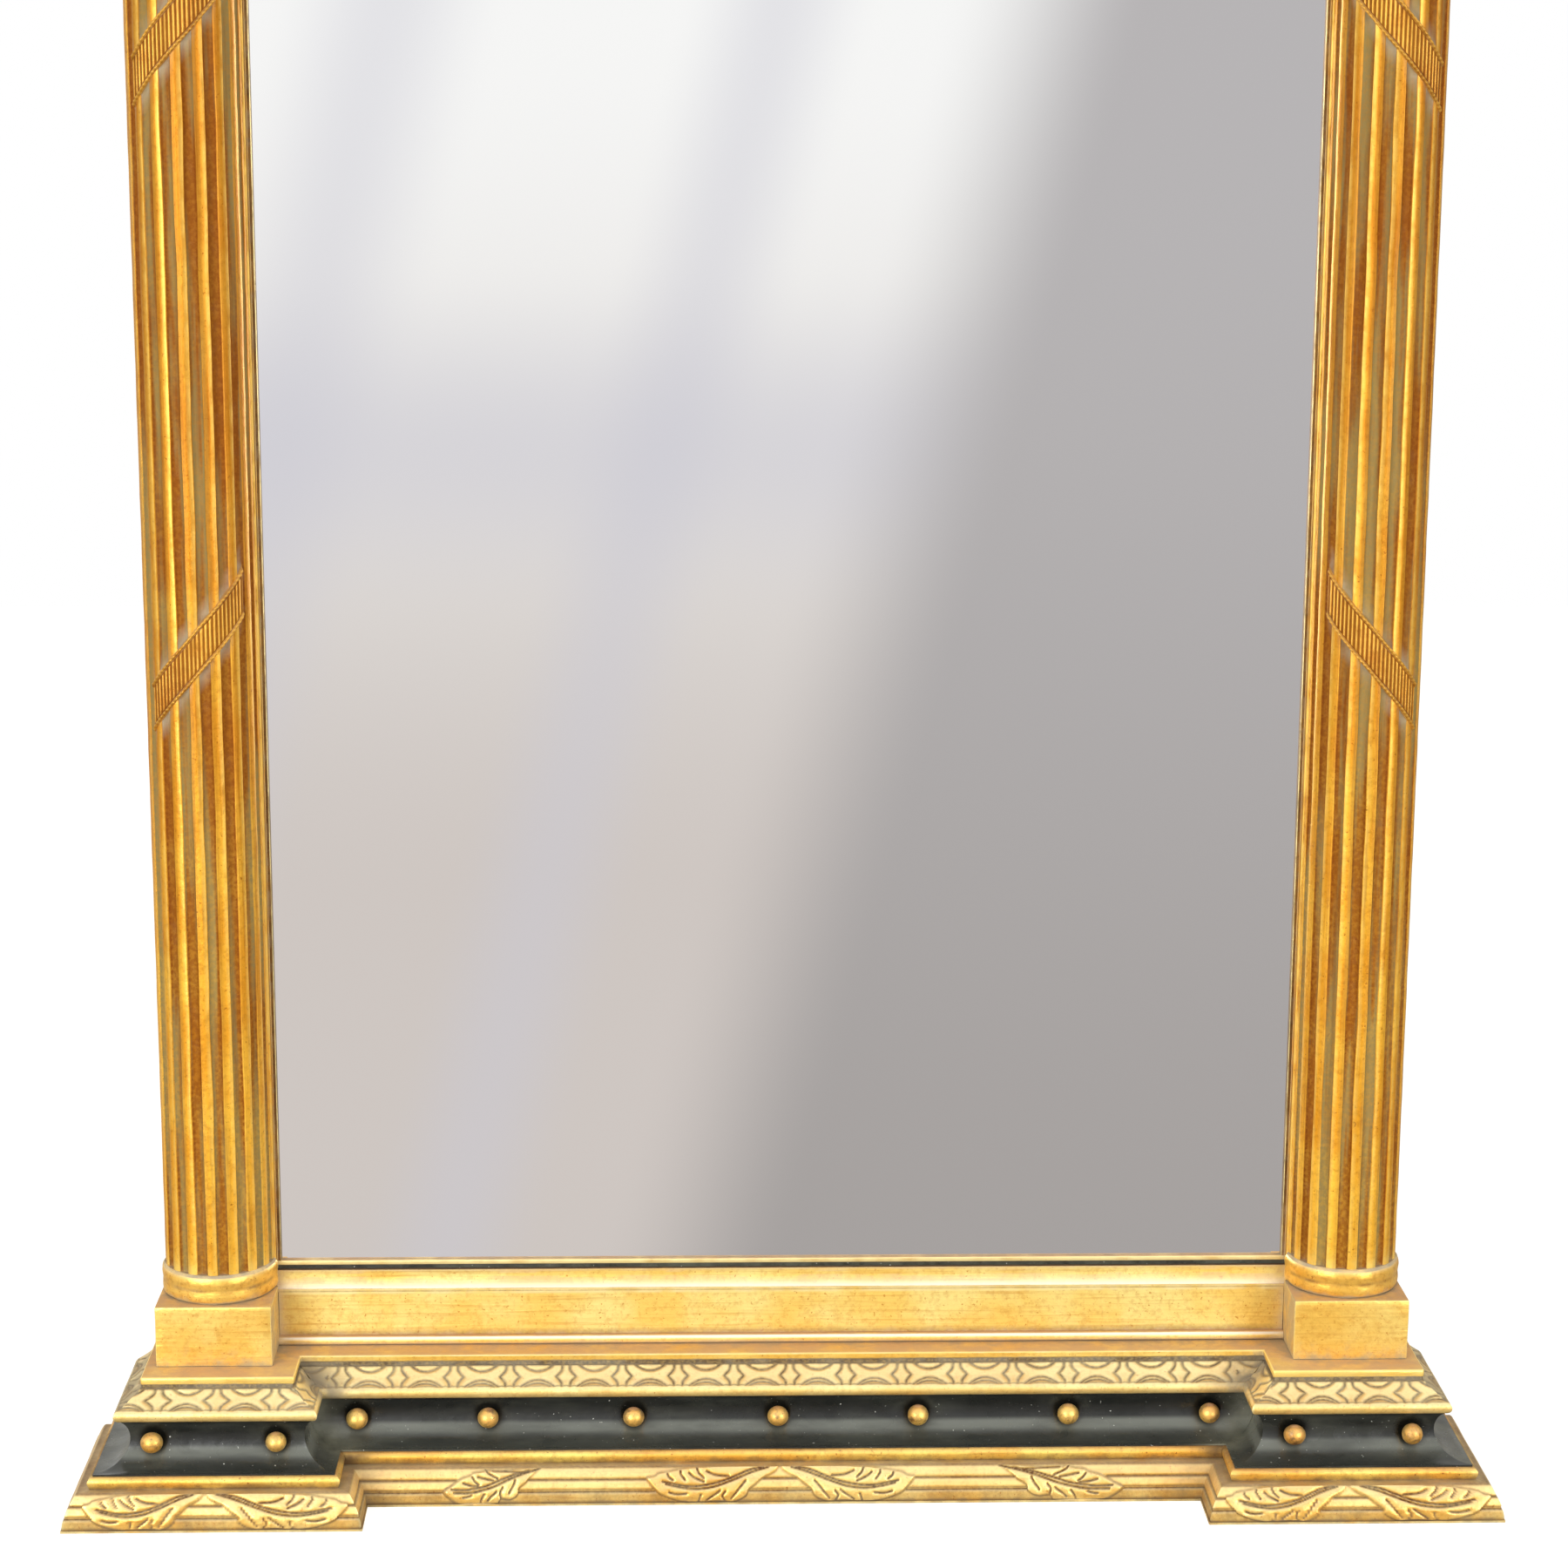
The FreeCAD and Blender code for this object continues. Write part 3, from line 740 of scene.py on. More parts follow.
FLAT_GILT = GiltFinish("flat_gilt", bright=tone(255, 220, 122), middle=tone(248, 198, 90),
                       stretch=(12.0, 160.0, 330.0), dust=tone(206, 162, 116), streaks=0.32,
                       dirt_spread=0.034, dirt_amount=0.9, rubbed_and_highlight=tone(255, 222, 126),
                       dirt=tone(168, 152, 124))
CARVED_GILT = GiltFinish("carved_gilt", bright=tone(252, 212, 122), middle=tone(240, 186, 88),
                         deep=tone(194, 124, 42), streaks=0.4, wash_and_shade=tone(88, 50, 16),
                         wash_and_shade_grey=tone(104, 86, 60), wash_and_shade_amount=1.0, painted_highlight_amount=0.4,
                         dust=tone(216, 184, 140), dust_amount=0.5, dirt_amount=0.75,
                         dirt=tone(132, 114, 88))
LATTICE_GILT = GiltFinish("lattice_gilt", bright=tone(255, 226, 146), middle=tone(250, 208, 118),
                          deep=tone(206, 142, 60), streaks=0.35, wash_and_shade=tone(92, 74, 48),
                          wash_and_shade_grey=tone(122, 112, 92), wash_and_shade_amount=1.0, painted_highlight_amount=0.4,
                          dust=tone(216, 184, 140), dust_amount=0.5, dirt_amount=0.8,
                          dirt=tone(146, 134, 112))
BEAD_GILT = GiltFinish("bead_gilt", bright=tone(255, 222, 112), middle=tone(252, 188, 72),
                       deep=tone(156, 82, 18), wash_and_shade=tone(84, 44, 12), painted_highlight_amount=0.15,
                       rubbed_and_highlight=tone(255, 222, 130), dust_amount=0.6, dirt=tone(110, 84, 52))
# Its near-white pale layer is a painted highlight on the fascia and cove.
PANEL_GILT = GiltFinish("panel_gilt", bright=tone(255, 232, 142), middle=tone(255, 214, 108),
                        stretch=(10.0, 160.0, 420.0), painted_highlight=tone(255, 248, 232),
                        painted_highlight_amount=0.95, metallic=0.45, dirt=tone(202, 172, 136),
                        wash_and_shade=tone(112, 66, 22))
RING_GILT = GiltFinish("ring_gilt", bright=tone(250, 202, 96), middle=tone(236, 178, 68),
                       deep=tone(168, 98, 26), painted_highlight_amount=0.5, wash_and_shade=tone(110, 64, 22))
COLUMN_GILT = GiltFinish("column_gilt", stretch=(260.0, 260.0, 9.0), bright=tone(248, 190, 62),
                         middle=tone(230, 158, 36), deep=tone(152, 86, 8), streaks=0.6,
                         wash_and_shade=tone(124, 62, 2), wash_and_shade_grey=tone(136, 120, 72),
                         wash_and_shade_stretch=(105.0, 20.0, 5.0), wash_and_shade_amount=1.0, dirt_spread=0.006,
                         dirt_amount=0.4, painted_highlight_amount=0.1, rubbed_and_highlight=tone(255, 216, 112),
                         metallic=0.45, roughness=0.42, mid_height_darkening=0.6, specular=0.15)
RIBBON_GILT = GiltFinish("ribbon_gilt", stretch=(200.0, 200.0, 40.0),
                         bright=tone(210, 144, 34), middle=tone(180, 110, 18),
                         deep=tone(124, 64, 4), wash_and_shade=tone(96, 46, 2),
                         wash_and_shade_grey=tone(112, 64, 10), wash_and_shade_amount=1.0, dirt_amount=0.3,
                         painted_highlight_amount=0.1, rubbed_and_highlight=tone(250, 200, 92), metallic=0.45,
                         mid_height_darkening=0.5, specular=0.15)
SLIP_GILT = GiltFinish("slip_gilt", bright=tone(240, 212, 146), middle=tone(228, 192, 120),
                       painted_highlight_amount=0.5)
SIDE_SLIP_GILT = GiltFinish("side_slip_gilt", bright=tone(246, 192, 80),
                            middle=tone(232, 168, 58), stretch=(220.0, 160.0, 10.0))
# Dark brown of the painted shadow along the side slips' inner edge.
SLIP_EDGE_SHADOW = GiltFinish("slip_edge_shadow", bright=tone(150, 108, 50), middle=tone(116, 80, 36),
                       deep=tone(76, 50, 22), painted_highlight_amount=0.0, wear_and_highlight_amount=0.0)
BALL_GILT = GiltFinish("ball_gilt", stretch=(110.0, 110.0, 110.0), streaks=1.0,
                       bright=tone(255, 212, 104), middle=tone(240, 166, 62),
                       deep=tone(96, 42, 12), dirt_spread=0.006, metallic=0.65,
                       roughness=0.42, painted_highlight_amount=0.15)
EBONISED = EbonisedFinish("ebonised")
FRAME_PINE = PineFinish("frame_pine")
UPRIGHT_PINE = PineFinish("upright_pine", stretch=(140.0, 140.0, 4.0))
BACKBOARD_PINE = PineFinish("backboard_pine", light=tone(172, 130, 84), dark=tone(108, 74, 44),
                            stretch=(3.0, 90.0, 90.0), board_pitch=0.3553)
MIRROR = MirrorFinish("mirror_plate")
BRASS = MetalFinish("hanger_brass", tone(206, 168, 92), tone(122, 92, 48))
STEEL = MetalFinish("steel_screw", tone(150, 148, 144), tone(84, 66, 52), 0.45)


def linked(name: str, data: Any) -> bpy.types.Object:
    """Puts an object in the scene.

    Args:
        name: Its name.
        data: Its mesh, lamp or camera.

    Returns:
        The object.
    """
    made = bpy.data.objects.new(name, data)
    bpy.context.scene.collection.objects.link(made)
    return made


def put(made: Mesh, node: str, suffix: str, slot: str, *finishes: Finish,
        crease: float = CREASE) -> None:
    """Makes the piece that stands for a CAD node and rides on the frame.

    Args:
        made: The mesh, in metres and in place.
        node: Name of the node.
        suffix: What the piece's name adds to it.
        slot: Material slot of the record; not used.
        finishes: Its finishes, in the order of the faces' material numbers.
        crease: Angle from which an edge is shaded sharp.
    """
    bmesh.ops.recalc_face_normals(made, faces=made.faces)
    mesh = bpy.data.meshes.new(node + suffix)
    made.to_mesh(mesh)
    made.free()
    mesh.shade_smooth()
    mesh.set_sharp_from_angle(angle=crease)
    for finish in finishes:
        mesh.materials.append(finish.material())
    piece = linked(node + suffix, mesh)
    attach(piece, "frame")
    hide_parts(node)
    LOG.info("%s: %d faces", piece.name, len(mesh.polygons))


def grid(columns: int, rows: int) -> tuple[Mesh, np.ndarray, np.ndarray]:
    """A flat grid to be bent into shape.

    Args:
        columns: Vertices in one direction.
        rows: Vertices in the other.

    Returns:
        The mesh, and each vertex's column and row.
    """
    made = bmesh.new()
    bmesh.ops.create_grid(made, x_segments=columns - 1, y_segments=rows - 1, size=0.5)
    places = np.array([vert.co[:2] for vert in made.verts])
    shares = (places - places.min(0)) / (places.max(0) - places.min(0))
    numbers = np.rint(shares * (columns - 1, rows - 1)).astype(int)
    return made, numbers[:, 0], numbers[:, 1]


def bend(made: Mesh, places: np.ndarray, **marks: np.ndarray) -> None:
    """Moves the vertices to their places and keeps marks that the finishes read.

    Args:
        made: The mesh.
        places: Places in millimetres, measured from the wall plane.
        marks: Shares at each vertex: brown toning with painted shade, and dull dust with some
            painted shade.
    """
    metres = (places + (0, WALL, 0)) * MM
    for vert, place in zip(made.verts, metres.tolist()):
        vert.co = place
    for name, shares in marks.items():
        layer = made.verts.layers.float.new(name)
        for vert, share in zip(made.verts, shares.tolist()):
            vert[layer] = share


def close(made: Mesh) -> None:
    """Joins the seam of a bent grid and shuts its open ends.

    Args:
        made: The mesh.
    """
    rim = [vert for vert in made.verts if vert.is_boundary]
    bmesh.ops.remove_doubles(made, verts=rim, dist=1e-7)
    rims = [edge for edge in made.edges if edge.is_boundary]
    bmesh.ops.holes_fill(made, edges=rims, sides=0)


def joined(parts: Iterable[Mesh]) -> Mesh:
    """Several meshes as one.

    Args:
        parts: The meshes, which are used up.

    Returns:
        The one mesh.
    """
    whole = bmesh.new()
    for part in parts:
        mesh = bpy.data.meshes.new("part")
        part.to_mesh(mesh)
        part.free()
        whole.from_mesh(mesh)
        bpy.data.meshes.remove(mesh)
    return whole


def round_off(made: Mesh, width: float, shortest: float = 0.0) -> None:
    """Rounds the sharp edges and marks them, because the finishes make them bright: wear and
    painted highlight.

    Args:
        made: The mesh.
        width: Width of the rounding.
        shortest: Length below which an edge stays sharp.
    """
    layer = made.faces.layers.float.new("edge")
    sharp = [edge for edge in made.edges
             if edge.is_manifold and edge.calc_face_angle(0.0) > CREASE
             and edge.calc_length() > shortest * MM]
    rounded = bmesh.ops.bevel(made, geom=sharp, offset=width * MM, offset_type="OFFSET",
                              segments=2, profile=0.5, affect="EDGES", clamp_overlap=True,
                              material=-1)
    for face in rounded["faces"]:
        face[layer] = 1.0


def worn_copy(node: str, rounding: float, shortest: float = 4.0) -> Mesh:
    """A merged copy of a CAD node with its long edges rounded.

    Args:
        node: Name of the node.
        rounding: Width of the rounding.
        shortest: Length below which an edge stays sharp.

    Returns:
        The mesh.
    """
    made = bmesh.new()
    made.from_mesh(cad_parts[node].data)
    bmesh.ops.remove_doubles(made, verts=made.verts, dist=TINY)
    bmesh.ops.dissolve_limit(made, angle_limit=math.radians(1), verts=made.verts,
                             edges=made.edges)
    round_off(made, rounding, shortest)
    return made


@dataclass(frozen=True)
class Section:
    """Closed section of a moulding as (reach, height): a finely cut front and a plain back."""

    front: Line
    back: Line

    def loop(self) -> np.ndarray:
        """All its points, with the first again at the end."""
        return np.array([*self.front, *self.back, self.front[0]], float)

    def normals(self) -> np.ndarray:
        """Directions that point out of the front, and nothing at its ends and at the back.

        Returns:
            One direction for each point of the loop.
        """
        front = np.array(self.front, float)
        steps = np.diff(front, axis=0)
        steps /= np.linalg.norm(steps, axis=1)[:, None]
        along = (steps[1:] + steps[:-1]) / 2
        along /= np.linalg.norm(along, axis=1)[:, None]
        out = np.zeros((len(front) + len(self.back) + 1, 2))
        out[1:len(front) - 1] = np.stack([along[:, 1], -along[:, 0]], axis=1)
        return out


@dataclass(frozen=True)
class Run:
    """The vertices of a length of moulding.

    Along is each one's distance along the run, front is true where the run faces the front, and
    row is its number round the section.
    """

    along: np.ndarray
    front: np.ndarray
    row: np.ndarray


def swept(section: Section, corners: Sequence[Corner], step: float, end: End,
          relief: Callable[[Run], Marks], grime: DustAndShade) -> Mesh:
    """A moulding swept round the corners of a plan, with mitres.

    Args:
        section: Its section.
        corners: Plan corners, as x and y with what each gains for a millimetre of reach.
        step: Length of one step along the run.
        end: End of the mirror that it belongs to.
        relief: Gives the lift and groove of its vertices.
        grime: Gives the dull dust, and in places painted shade, from the plan place and the
            reach.

    Returns:
        The closed mesh.
    """
    plan = np.array(corners, float)
    legs, shares = [], []
    for leg, length in enumerate(np.abs(np.diff(plan[:, :2], axis=0)).sum(1)):
        cuts = max(2, round(float(length) / step))
        legs += [leg] * cuts
        shares += list(np.arange(cuts) / cuts)
    leg, share = np.array(legs + [len(plan) - 2]), np.array(shares + [1.0])
    loop, normals = section.loop(), section.normals()
    made, column, row = grid(len(leg), len(loop))
    row = row % (len(loop) - 1)
    start, stop = plan[leg[column]], plan[leg[column] + 1]
    corner = start + (stop - start) * share[column][:, None]
    reach, height = loop[row].T
    here = corner[:, :2] + corner[:, 2:] * reach[:, None]
    front = np.abs(stop[:, 0] - start[:, 0]) > 1.0
    lift, groove = relief(Run(np.where(front, here[:, 0], here[:, 1]), front, row))
    reach = np.minimum(reach + lift * normals[row, 0], loop[:, 0].max())
    height = height + lift * normals[row, 1]
    here = corner[:, :2] + corner[:, 2:] * reach[:, None]
    bend(made, np.column_stack([here, end.level(height)]), groove=groove,
         grime=grime(here, reach))
    close(made)
    return made


@dataclass(frozen=True)
class BreakfrontPlan:
    """Plan of base and cornice: two blocks that stand forward of the middle."""

    half_width: float = 450.0
    break_half_width: float = 343.0
    block_depth: float = 84.4
    centre_depth: float = 44.0
    dust_width: float = 20.0

    def corners(self, place: Place) -> list[Corner]:
        """Corners of the moulding's line at one place.

        Args:
            place: Left block, middle or right block.

        Returns:
            The corners from the wall inwards, or from left to right.
        """
        inside = (-self.break_half_width, -self.centre_depth, 1.0, -1.0)
        left = [(-self.half_width, 0.0, -1.0, 0.0),
                (-self.half_width, -self.block_depth, -1.0, -1.0),
                (-self.break_half_width, -self.block_depth, 1.0, -1.0), inside]
        if place is Place.CENTRE:
            return [inside, self.mirrored(inside)]
        return left if place is Place.LEFT else [self.mirrored(corner) for corner in left]

    @staticmethod
    def mirrored(corner: Corner) -> Corner:
        """The corner on the other side of the middle plane."""
        return (-corner[0], corner[1], -corner[2], corner[3])

    def grime(self, here: np.ndarray, reach: np.ndarray) -> np.ndarray:
        """Dull dust on the outer sides and in the corners beside the blocks.

        Args:
            here: Plan places.
            reach: Their reach.

        Returns:
            Shares of dust.
        """
        x, y = np.abs(here[:, 0]), here[:, 1]
        away = np.hypot(x - self.break_half_width + reach, y + self.centre_depth + reach)
        outer = (x - reach > self.half_width - 0.3) & (y > -self.block_depth - reach + 0.3)
        return np.maximum(bell(away, self.dust_width), 0.7 * outer)


@dataclass(frozen=True)
class Moulding:
    """A moulding that runs round the plan in three lengths, with what its pieces are called."""

    title: str
    suffix: str
    slot: str
    finish: Finish
    step: float
    plan: BreakfrontPlan = BreakfrontPlan()

    def section(self) -> Section:
        """The plain section. Each moulding has its own."""
        raise NotImplementedError

    def relief(self, run: Run) -> Marks:
        """Lift and groove of the vertices. Each moulding has its own."""
        raise NotImplementedError

    def grime(self, here: np.ndarray, reach: np.ndarray) -> np.ndarray:
        """Dust at plan places with their reach."""
        return self.plan.grime(here, reach)

    def length(self, end: End, place: Place) -> Mesh:
        """The mesh of one length."""
        return swept(self.section(), self.plan.corners(place), self.step, end, self.relief,
                     self.grime)

    def build(self, end: End) -> None:
        """Makes the three lengths of one end."""
        for place in Place:
            put(self.length(end, place), f"{end.value}_{self.title}_{place.value}", self.suffix,
                self.slot, self.finish)


class LeafShape(Enum):
    """The two leaves that the carver cut: outlines and cuts in shares of length and height."""

    DROOPING = (
        ((0.0, 1.0), (0.09, 0.79), (0.162, 0.58), (0.225, 0.45), (0.234, 0.3), (0.275, 0.17),
         (0.333, 0.11), (0.396, 0.14), (0.428, 0.08), (0.45, 0.0), (0.62, -0.02),
         (0.847, 0.0), (0.928, 0.13), (0.982, 0.27), (1.0, 0.37), (0.968, 0.45),
         (0.919, 0.53), (0.865, 0.65), (0.802, 0.74), (0.72, 0.81), (0.694, 0.87),
         (0.586, 0.92), (0.568, 0.99), (0.53, 0.93), (0.477, 0.93), (0.35, 0.93),
         (0.126, 0.99)),
        (((0.919, 0.42), (0.8, 0.4), (0.685, 0.44), (0.577, 0.5), (0.477, 0.61),
          (0.369, 0.72), (0.261, 0.82), (0.126, 0.91)),
         ((0.892, 0.33), (0.73, 0.33), (0.622, 0.38), (0.486, 0.49), (0.351, 0.66),
          (0.216, 0.8), (0.01, 0.97)),
         ((0.644, 0.55), (0.68, 0.64), (0.707, 0.75)),
         ((0.495, 0.66), (0.57, 0.7), (0.65, 0.75)),
         ((0.45, 0.71), (0.54, 0.84), (0.568, 0.94)),
         ((0.649, 0.5), (0.73, 0.53), (0.8, 0.59)),
         ((0.495, 0.91), (0.35, 0.89), (0.225, 0.86)),
         ((0.396, 0.47), (0.423, 0.33), (0.414, 0.17)),
         ((0.27, 0.67), (0.288, 0.53), (0.333, 0.31)),
         ((0.459, 0.36), (0.514, 0.22), (0.55, 0.09)),
         ((0.586, 0.29), (0.61, 0.16), (0.622, 0.04)),
         ((0.72, 0.25), (0.76, 0.21), (0.8, 0.19))))
    SPREADING = (
        ((0.0, 1.0), (0.043, 0.82), (0.13, 0.66), (0.183, 0.5), (0.23, 0.36), (0.252, 0.19),
         (0.304, 0.06), (0.365, 0.0), (0.48, 0.03), (0.591, 0.0), (0.722, 0.02),
         (0.835, 0.14), (0.904, 0.27), (0.957, 0.47), (1.0, 0.7), (0.939, 0.75),
         (0.904, 0.83), (0.826, 0.88), (0.748, 0.93), (0.643, 0.98), (0.5, 1.0), (0.24, 1.01)),
        (((0.878, 0.6), (0.8, 0.54), (0.713, 0.48), (0.626, 0.47), (0.522, 0.52),
          (0.417, 0.62), (0.33, 0.74), (0.226, 0.89), (0.122, 0.97)),
         ((0.852, 0.53), (0.748, 0.44), (0.626, 0.39), (0.504, 0.44), (0.4, 0.56),
          (0.287, 0.72), (0.2, 0.84), (0.087, 0.96)),
         ((0.709, 0.64), (0.739, 0.78), (0.743, 0.87)),
         ((0.57, 0.59), (0.643, 0.71), (0.68, 0.82)),
         ((0.57, 0.69), (0.604, 0.81), (0.62, 0.95)),
         ((0.383, 0.73), (0.478, 0.76), (0.548, 0.86)),
         ((0.8, 0.64), (0.83, 0.72), (0.84, 0.8)),
         ((0.591, 0.24), (0.6, 0.13), (0.609, 0.02)),
         ((0.448, 0.35), (0.504, 0.19), (0.548, 0.07)),
         ((0.409, 0.33), (0.43, 0.19), (0.409, 0.03)),
         ((0.257, 0.61), (0.296, 0.44), (0.335, 0.26), (0.365, 0.11)),
         ((0.7, 0.27), (0.77, 0.25), (0.83, 0.31))))


@dataclass(frozen=True)
class Leaf:
    """One carved leaf, from the top of its stem to its tip."""

    stem: float
    tip: float
    shape: LeafShape
    face: float = 25.0
    rise: float = 0.9
    swell: float = 0.35
    cut_depth: float = 0.7
    shade_width: float = 0.95

    def relief(self, along: np.ndarray, height: np.ndarray) -> tuple[np.ndarray, ...]:
        """How the leaf stands out of the moulding.

        Args:
            along: Places along the width.
            height: Distances up the moulding's face.

        Returns:
            Cover of the bands, lift in front of them, and the share of toning in the cuts and of
            painted shade round the outline, for each place.
        """
        length = abs(self.tip - self.stem)
        reach = (along - self.stem) * math.copysign(1.0, self.tip - self.stem)
        cover, lift, groove = (np.zeros(len(along)) for _ in range(3))
        near = (reach > -3) & (reach < length + 3)
        points = np.column_stack([reach, height])[near]
        scale = np.array((length, self.face))
        edge, cuts = self.shape.value
        outline = eased([*edge, edge[0]], 4) * scale
        depth = distance_to(outline, points) * np.where(is_inside(outline, points), 1, -1)
        cut = np.full(len(points), FAR)
        for line in cuts:
            cut = np.minimum(cut, distance_to(eased(line) * scale, points))
        cover[near] = smooth(-0.5, 0.9, depth)
        lift[near] = cover[near] * (self.rise * smooth(-0.4, 1.6, depth)
                                    + self.swell * smooth(0.4, 3.2, cut)
                                    - self.cut_depth * smooth(0.95, 0.3, cut))
        # Painted shade round the leaf's outline, stronger towards its foot.
        outer = (1.0 - 0.5 * points[:, 1] / self.face) * bell(depth, self.shade_width)
        groove[near] = np.maximum(smooth(1.25, 0.35, cut), outer) * smooth(-1.8, -0.6, depth)
        return cover, lift, groove


@dataclass(frozen=True)
class LeafMoulding(Moulding):
    """Outermost moulding: three bands on a quarter round, with carved leaves."""

    title: str = "leaf_moulding"
    suffix: str = "_carved"
    slot: str = "carved_gilt"
    finish: Finish = CARVED_GILT
    step: float = 0.85
    reach: float = 50.0
    top_reach: float = 39.5
    back_reach: float = 30.0
    height: float = 24.4
    fillet: float = 1.5
    crown: float = 1.3
    bands: int = 3
    rows: int = 11
    unevenness: float = 0.15
    set_back: float = 0.3
    line_width: float = 0.95
    second_line: float = 1.16
    second_width: float = 0.6
    second_depth: float = 0.55
    low_band_shade_amount: float = 0.48
    leaf_set_back: float = 0.45
    leaf_stretch: float = 1.025
    leaves: tuple[Leaf, ...] = (
        *(Leaf(stem, tip, LeafShape.SPREADING) for stem, tip in (
            (-402, -485), (-402, -303), (-4, -98.4), (-4, 91.7), (391, 305), (391, 490))),
        Leaf(-172, -241, LeafShape.DROOPING), Leaf(150.2, 239, LeafShape.DROOPING))

    def band_end(self, number: int) -> tuple[float, float]:
        """Reach and height at which a band begins."""
        fall = (self.reach - self.crown - self.top_reach) * math.cos(math.pi / 2 * number
                                                                     / self.bands)
        return (self.top_reach + fall,
                self.fillet + (self.height - self.fillet) * number / self.bands)

    def section(self) -> Section:
        """The section without its crowns, which the relief adds.

        Returns:
            The section.
        """
        front = [(self.reach, 0.0), (self.reach, self.fillet)]
        for band in range(self.bands):
            front += straight(self.band_end(band), self.band_end(band + 1), self.rows)
        front.append(self.band_end(self.bands))
        return Section(front, [(self.back_reach, self.height), (self.back_reach, 0.0)])

    def relief(self, run: Run) -> Marks:
        """Crowned bands with a double line, painted shade on the lowest band, and the leaves on
        the front.

        Args:
            run: The vertices.

        Returns:
            Lift and groove.
        """
        last, pitch = self.bands * self.rows, self.height / self.bands
        inner = (run.row >= 2) & (run.row <= last + 2)
        share = np.clip(run.row - 2, 0, last) / self.rows
        part = share - np.floor(np.minimum(share, self.bands - TINY))
        crown = self.crown * (1 - np.abs(2 * part - 1) ** 5)
        line = bell((share - np.rint(share)) * pitch, self.line_width)
        line *= np.where(share < 0.5, 0.3, 1.0)
        second = bell((share - self.second_line) * pitch, self.second_width)
        lift = crown - self.second_depth * second - self.set_back
        lift += self.unevenness * wobble(run.along, 1.3)
        # Painted shade along the lowest band, under its top line.
        low_band_shade = self.low_band_shade_amount * smooth(1.0, 0.9, share)
        low_band_shade += 0.15 * wobble(run.along, 9.1, 40.0) * (share < 1)
        groove = np.maximum(np.maximum(line, second * 0.8), low_band_shade)
        lift, groove = lift * inner, groove * inner
        for leaf in self.leaves:
            marks = leaf.relief(run.along, share * pitch * self.leaf_stretch)
            cover, rise, cut = (mark * run.front * inner for mark in marks)
            lift = lift * (1 - cover) + (self.crown + rise - self.leaf_set_back) * cover
            groove = np.maximum(groove * (1 - cover), cut)
        return np.minimum(lift, self.crown + 4.0 * share ** 1.3), np.clip(groove, 0, 1)

    def grime(self, here: np.ndarray, reach: np.ndarray) -> np.ndarray:
        """Dust in the corners, and dust with painted shade in the narrow channel behind the
        bands.

        Args:
            here: Plan places.
            reach: Their reach.

        Returns:
            Shares of dust and painted shade.
        """
        # Dust and painted shade in the channel under the bead.
        channel = smooth(self.top_reach, self.back_reach + 2, reach)
        side = np.abs(here[:, 0]) - reach > self.plan.half_width - 0.3
        return np.maximum(0.5 * self.plan.grime(here, reach), channel * (1 - 0.8 * side))


@dataclass(frozen=True)
class Bead(Moulding):
    """Half-round bead in front of the hollow, with painted shade along its foot and top."""

    title: str = "bead"
    suffix: str = "_worn"
    slot: str = "flat_gilt"
    finish: Finish = BEAD_GILT
    step: float = 3.0
    reach: float = 33.6
    back_reach: float = 20.0
    foot: float = 24.4
    height: float = 8.8
    unevenness: float = 0.16
    set_back: float = 0.17

    def section(self) -> Section:
        """The half round on its flat back.

        Returns:
            The section.
        """
        top = self.foot + self.height
        nose = ((1.5, 0.0), (0.6, 2.4), (0.0, 4.9), (0.7, 7.0), (2.2, self.height - 0.6),
                (4.4, self.height))
        front = eased([(self.reach - back, self.foot + rise) for back, rise in nose], 3)
        return Section(front.tolist(), [(self.back_reach, top), (self.back_reach, self.foot)])

    def relief(self, run: Run) -> Marks:
        """Painted shade along the foot and top, and the unevenness of hand work.

        Args:
            run: The vertices.

        Returns:
            Lift and groove.
        """
        top = len(self.section().front) - 1
        # Painted shade on the underside, at the foot and where the bead meets the hollow.
        shade = 0.2 * bell(run.row - 3, 2.0) + 0.5 * bell(run.row - top, 1.5)
        uneven = 0.6 + 0.4 * wobble(run.along, 8.3, 26.0)
        groove = np.maximum(bell(run.row, 1.6), shade * uneven) * (run.row <= top)
        return self.unevenness * wobble(run.along, 4.1) - self.set_back, groove

    def build(self, end: End) -> None:
        """Makes the three lengths of one end as one piece."""
        put(joined(self.length(end, place) for place in Place), f"{end.value}_{self.title}",
            self.suffix, self.slot, self.finish)


